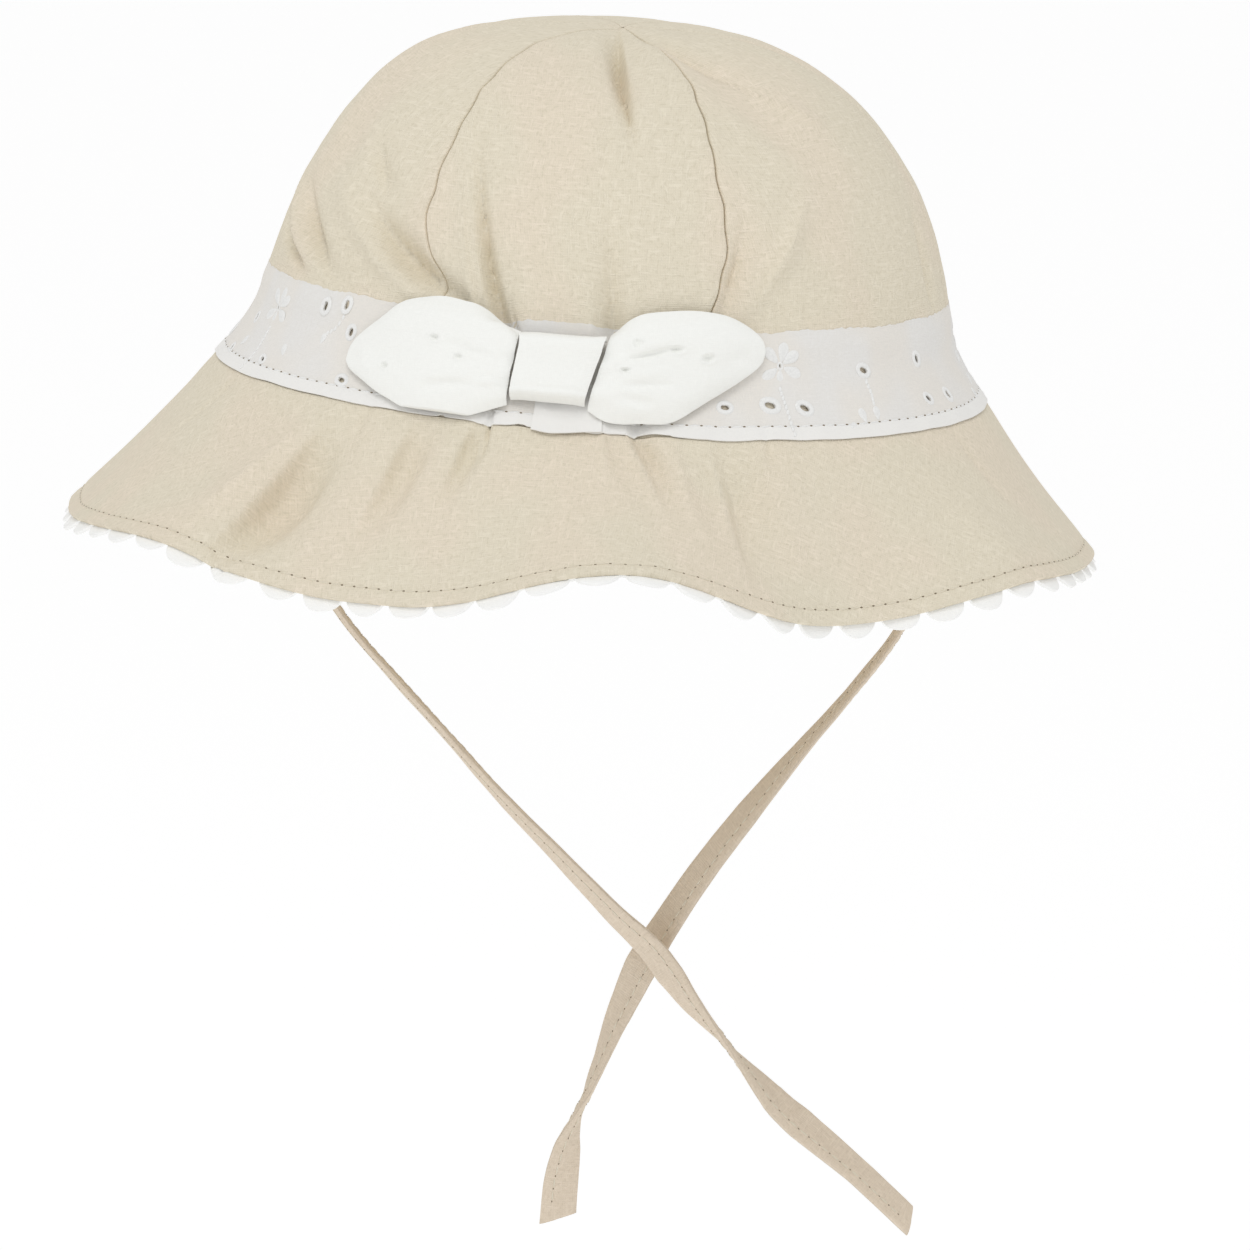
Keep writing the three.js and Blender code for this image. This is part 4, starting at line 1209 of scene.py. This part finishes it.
WING_COLUMNS = 118
WING_CELLS = 84
WING_SLIT = 0.7
CREASE_FADE = 0.7
PIT_DEPTH = 1.0
PIT_RING = 0.16
WING_EDGE_TUCK = 0.35


def bow_wing(name, rows, reach_length, side, creases, eyelets, seed):
    def shape(across, up):
        row = curve_through(rows, across if side > 0 else 1 - across)
        reach, middle, half, swell = np.moveaxis(row, -1, 0)
        reach = np.clip(reach, 0, 1)
        v = 2 * up - 1
        outline = np.stack([reach * 30 + v * 3, v * 4, np.full_like(v, seed)], -1)
        height = (middle + half * v) * WING_HALF_HEIGHT + 0.3 * v * ripple(outline, 5, seed)
        half_knot, shift = knot_at(height)
        aside = shift + side * (half_knot + WING_SLIT + (reach_length + GAP - WING_SLIT) * reach)
        crown = 1 - np.abs(v) ** WING_FLATNESS
        spot = np.stack([aside, height * 1.5, np.full_like(aside, seed * 40.0)], -1)
        slack = 0.35 * ripple(spot, 11, seed + 2) + 0.12 * ripple(spot, 4, seed + 1)
        pleats = 0.3 * np.exp(-reach * 7) * np.sin(v * 9 + seed)
        edge = np.minimum(reach * reach_length, reach_length * (1 - reach) * 2 + half * 3)
        tuck = WING_EDGE_TUCK * np.exp(-edge / 0.8)
        lift = WING_CLOTH + WING_SWELL * swell * crown + (slack + pleats) * np.minimum(1, 2.5 * crown)
        lift = lift - wing_press(creases, eyelets, aside, height) - tuck
        return bow_point(aside, height, lift), np.stack([aside, height], -1)

    wing = cloth(name + "_cloth", WING_COLUMNS, WING_CELLS, shape)
    use(wing, "SOLIDIFY", thickness=WING_CLOTH * MM, offset=-1)
    use(wing, "BEVEL", width=0.3 * MM, segments=2, limit_method="ANGLE", angle_limit=math.radians(60))
    smooth(wing, 60)
    dress(wing, white_cotton, "white_cotton", name)
    return wing


KNOT_EDGE = 1.5
KNOT_ROLL = 0.8
KNOT_CLOTH = 1.0


def bow_knot():
    def shape(across, up):
        u, v = 2 * across - 1, 2 * up - 1
        height = v * KNOT_HEIGHT / 2
        half, shift = knot_at(height)
        spot = np.stack([u * 8, v * 7, np.zeros_like(u)], -1)
        pillow = np.clip(1 - np.abs(v) ** 10, 0, 1) ** 0.5
        lift = mix(KNOT_EDGE, KNOT_THICKNESS, pillow) - KNOT_ROLL * np.abs(u) ** 5
        lift = lift + 0.12 * ripple(spot, 7, 31) - 0.25 * np.exp(-(((height + 5.4) / 0.5) ** 2))
        aside = shift + u * half * (1 + 0.01 * ripple(spot, 4, 32))
        return bow_point(aside, height, lift), np.stack([u * half, height], -1)

    knot = cloth("bow_knot_cloth", 64, 60, shape)
    use(knot, "SOLIDIFY", thickness=KNOT_CLOTH * MM, offset=-1)
    use(knot, "BEVEL", width=0.3 * MM, segments=2, limit_method="ANGLE", angle_limit=math.radians(60))
    smooth(knot, 60)
    dress(knot, white_cotton, "white_cotton", "bow_knot")
    return knot


# Ties

TAPE_STEPS = 12
TAPE_SECTION = 48
LIP_RISE = 0.28
LIP_AT = 0.14
TAPE_STITCH_AT = 0.46


def tape_frames(route, share):
    """Middle, width and thickness directions of a tie at shares of its route."""
    centre = curve_through(route[:, :3], share, open_ends=True)
    step = 1e-4
    ahead = curve_through(route[:, :3], np.minimum(share + step, 1), open_ends=True)
    behind = curve_through(route[:, :3], np.maximum(share - step, 0), open_ends=True)
    tangent = ahead - behind
    tangent /= np.linalg.norm(tangent, axis=-1, keepdims=True)
    flat = np.cross((0, -1, 0), tangent)
    flat /= np.linalg.norm(flat, axis=-1, keepdims=True)
    away = np.cross(tangent, flat)
    turn = np.interp(share * (len(route) - 1), np.arange(len(route)), route[:, 3])[..., None] * DEGREE
    wide = flat * np.cos(turn) + away * np.sin(turn)
    return centre, tangent, wide, np.cross(tangent, wide)


def tape_point(route, share, out, lean):
    """A point of a tie at shares of its route, half width and half thickness. The folded half is raised to a
    lip, with a groove before it."""
    centre, tangent, wide, thick = tape_frames(route, share)
    lip = LIP_RISE * ease(out, LIP_AT, LIP_AT + 0.12) - 0.15 * np.exp(-(((out - LIP_AT) / 0.06) ** 2))
    half = TIE_THICKNESS / 2 * (1 - 0.35 * np.abs(out) ** 6) + lip
    spot = np.stack([out * 9, share * 240, lean * 3], -1)
    waver = 0.12 * ripple(spot, 6, 21)
    place = centre + wide * (out * TIE_WIDTH / 2)[:, None] + thick * (lean * half + waver)[:, None]
    return place, tangent, wide, thick


def tie(name, route):
    steps = (len(route) - 1) * TAPE_STEPS
    share = np.linspace(0, 1, steps + 1)
    centres = tape_frames(route, share)[0]
    run = np.concatenate([[0], np.cumsum(np.linalg.norm(np.diff(centres, axis=0), axis=1))])

    def shape(across, up):
        angle = across * 2 * np.pi
        out = np.sign(np.cos(angle)) * np.abs(np.cos(angle)) ** 0.7
        lean = np.sign(np.sin(angle)) * np.abs(np.sin(angle)) ** 0.6
        place, tangent, wide, thick = tape_point(route, up, out, lean)
        slant = TIE_END_SLANT * ease(up, 0.985, 1) * out / 2
        flat = np.stack([out * TIE_WIDTH / 2 + 20 * (lean > 0), np.interp(up, share, run)], -1)
        return place + tangent * slant[:, None], flat

    piece = cloth(name + "_tape", TAPE_SECTION, steps, shape, ring=True)
    in_edit_mode(
        piece,
        (bpy.ops.mesh.select_all, {"action": "DESELECT"}),
        (bpy.ops.mesh.select_non_manifold, {}),
        (bpy.ops.mesh.edge_face_add, {}),
        (bpy.ops.mesh.select_all, {"action": "SELECT"}),
        (bpy.ops.mesh.normals_make_consistent, {"inside": False}),
    )
    smooth(piece, 60)
    # The ties' linen is darkened with painted shade.
    dress(piece, shaded_tape_linen, "linen", name)
    stitches, holes = tie_stitches(name, route, share, run)
    return piece


def tie_stitches(name, route, share, run):
    """The edge stitching of a tie on both faces, and dark spheres of painted shade where its needle holes are."""
    places = np.arange(TAPE_STITCH * 2, run[-1] - TAPE_STITCH, TAPE_STITCH)

    def frames_at(lengths):
        matrices = []
        at = np.interp(lengths, run, share)
        for face in (1, -1):
            out = np.full_like(at, TAPE_STITCH_AT)
            place, tangent, wide, thick = tape_point(route, at, out, np.full_like(at, float(face)))
            matrices += [
                matrix_of(p, t, w * face, o * face) for p, t, w, o in zip(place, tangent, wide, thick)
            ]
        return matrices

    stitches = copies(
        name + "_stitches", stitch_model(TAPE_STITCH * 0.75, 0.38, 0.3), frames_at(places)
    )
    holes = copies(
        name + "_needle_hole_shade", stitch_model(*TAPE_NEEDLE_HOLE), frames_at(places + TAPE_STITCH / 2)
    )
    for piece, material in ((stitches, beige_thread), (holes, needle_shade)):
        smooth(piece, 80)
        dress(piece, material, "linen")
    return stitches, holes


# Stitches

TAPE_STITCH = 2.9
# Sizes of the dark spheres of painted shade at the needle holes.
NEEDLE_HOLE = (0.66, 0.36, 0.2)
TAPE_NEEDLE_HOLE = (0.45, 0.26, 0.2)


def stitch_model(length, width, height):
    bpy.ops.object.select_all(action="DESELECT")
    bpy.ops.mesh.primitive_uv_sphere_add(segments=8, ring_count=6, radius=0.5 * MM)
    model = bpy.context.active_object
    model.scale = (length, width, height)
    apply_size(model)
    return model


def stitch_ring(name, surface, second, count, material, slot, tilt=4.0):
    """A row of stitches all round the hat, with a dark sphere of painted shade for the needle hole between each
    two.
    """
    azimuths = (np.arange(count) + 0.5) * 360 / count
    half_step = 180 / count
    uneven = 6 * ripple(np.stack([azimuths, 0 * azimuths, 0 * azimuths], -1), 2.7, 61)
    between = azimuths + half_step
    stitches = frames_on(surface, azimuths, second(azimuths), 0.04, tilt + uneven)
    holes = frames_on(surface, between, second(between), 0.02, uneven)
    row = copies(name, stitch_model(STITCH_PITCH * 0.74, 0.4, 0.32), stitches)
    hole_shade_dots = copies(name + "_needle_hole_shade", stitch_model(*NEEDLE_HOLE), holes)
    for piece, dressing in ((row, material), (hole_shade_dots, needle_shade)):
        smooth(piece, 80)
        dress(piece, dressing, slot)
    return [row, hole_shade_dots]


def hem_stitches():
    def second(azimuth):
        return 1 - HEM_STITCH_INSET / brim_length_at(azimuth)

    return stitch_ring("hem_stitches", BRIM_SURFACE, second, HEM_STITCHES, beige_thread, "linen")


def band_stitches():
    def second(azimuth):
        return np.full_like(azimuth, BAND_HEM)

    count = round(SEAM_LENGTH / STITCH_PITCH)
    return stitch_ring("band_stitches", BAND_SURFACE, second, count, white_thread, "white_cotton")


# Camera, light and floor

def add_camera():
    azimuth, elevation, roll = (a * DEGREE for a in (VIEW_AZIMUTH, VIEW_ELEVATION, VIEW_ROLL))
    toward = Vector((
        math.sin(azimuth) * math.cos(elevation),
        -math.cos(azimuth) * math.cos(elevation),
        math.sin(elevation),
    ))
    right = Vector((math.cos(azimuth), math.sin(azimuth), 0))
    up = toward.cross(right)
    seen_right = right * math.cos(roll) + up * math.sin(roll)
    seen_up = up * math.cos(roll) - right * math.sin(roll)
    data = bpy.data.cameras.new("camera")
    data.sensor_width = 36
    data.lens = data.sensor_width * VIEW_DISTANCE / VIEW_WIDTH
    data.clip_end = 100
    camera = bpy.data.objects.new("camera", data)
    bpy.context.collection.objects.link(camera)
    place = Matrix((seen_right, seen_up, toward)).transposed().to_4x4()
    place.translation = (Vector(VIEW_TARGET) + toward * VIEW_DISTANCE) * MM
    camera.matrix_world = place
    bpy.context.scene.camera = camera


def add_studio():
    """A white room of even light, a soft lamp over the left shoulder, and a pale floor far below."""
    world = bpy.data.worlds.new("studio")
    world.use_nodes = True
    world.node_tree.nodes["Background"].inputs["Color"].default_value = (1, 1, 1, 1)
    world.node_tree.nodes["Background"].inputs["Strength"].default_value = WORLD_STRENGTH
    bpy.context.scene.world = world
    bpy.context.scene.view_settings.view_transform = "Standard"
    lamp = bpy.data.lights.new("soft_lamp", "AREA")
    lamp.shape = "DISK"
    lamp.size = LAMP_SIZE
    lamp.energy = LAMP_POWER
    holder = bpy.data.objects.new("soft_lamp", lamp)
    bpy.context.collection.objects.link(holder)
    azimuth, elevation = LAMP_AZIMUTH * DEGREE, LAMP_ELEVATION * DEGREE
    away = Vector((
        math.sin(azimuth) * math.cos(elevation),
        -math.cos(azimuth) * math.cos(elevation),
        math.sin(elevation),
    ))
    holder.location = Vector(LAMP_AIM) + away * LAMP_DISTANCE
    holder.rotation_euler = away.to_track_quat("Z", "Y").to_euler()
    bpy.ops.mesh.primitive_plane_add(size=60, location=(0, 0, FLOOR_HEIGHT * MM))
    floor = bpy.context.active_object
    floor.name = "floor"
    material, _, shader = bare_material("pale_floor", 0.9)
    shader.inputs["Base Color"].default_value = (0.96, 0.96, 0.96, 1)
    shader.inputs["Emission Color"].default_value = (1, 1, 1, 1)
    shader.inputs["Emission Strength"].default_value = FLOOR_GLOW
    floor.data.materials.append(material)


# Flat cuts of the cloth

CUT_STEPS = 240


def gore_cut(index):
    """A gore's flat width and length with its seam allowances, and its area, in millimetres."""
    along = np.linspace(TOP_ALONG, 1, CUT_STEPS)
    wrap = 360 if index + 1 == len(SEAMS) else 0
    start = seam_azimuth(SEAMS[index], along)
    end = seam_azimuth(SEAMS[(index + 1) % len(SEAMS)], along) + wrap
    left, middle, right = (crown_face(mix(start, end, share), along) for share in (0.0, 0.5, 1.0))
    width = np.linalg.norm(middle - left, axis=-1) + np.linalg.norm(right - middle, axis=-1) + 2 * ALLOWANCE
    steps = np.linalg.norm(np.diff(middle, axis=0), axis=-1)
    area = float((steps * (width[1:] + width[:-1]) / 2).sum())
    return (float(width.max()), float(steps.sum())), area


add_camera()
add_studio()
tie("tie_left", LEFT_TIE_ROUTE)
tie("tie_right", RIGHT_TIE_ROUTE)
crown = [crown_panel(number) for number in range(len(PANELS))]
for number, panel in enumerate(crown):
    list(gore_cut(number))
brim_cloth = brim()
brim_trim()
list(hem_stitches())
band = hat_band()
on_band = [band_lap(), eyelet_rims(), sprig_stems(), *embroidery(), *band_stitches()]
wings = [
    bow_wing("bow_wing_left", LEFT_WING_ROWS, LEFT_WING_REACH, -1, LEFT_WING_CREASES, LEFT_WING_EYELETS, 41),
    bow_wing("bow_wing_right", RIGHT_WING_ROWS, RIGHT_WING_REACH, 1, RIGHT_WING_CREASES, RIGHT_WING_EYELETS, 51),
]
knot = bow_knot()
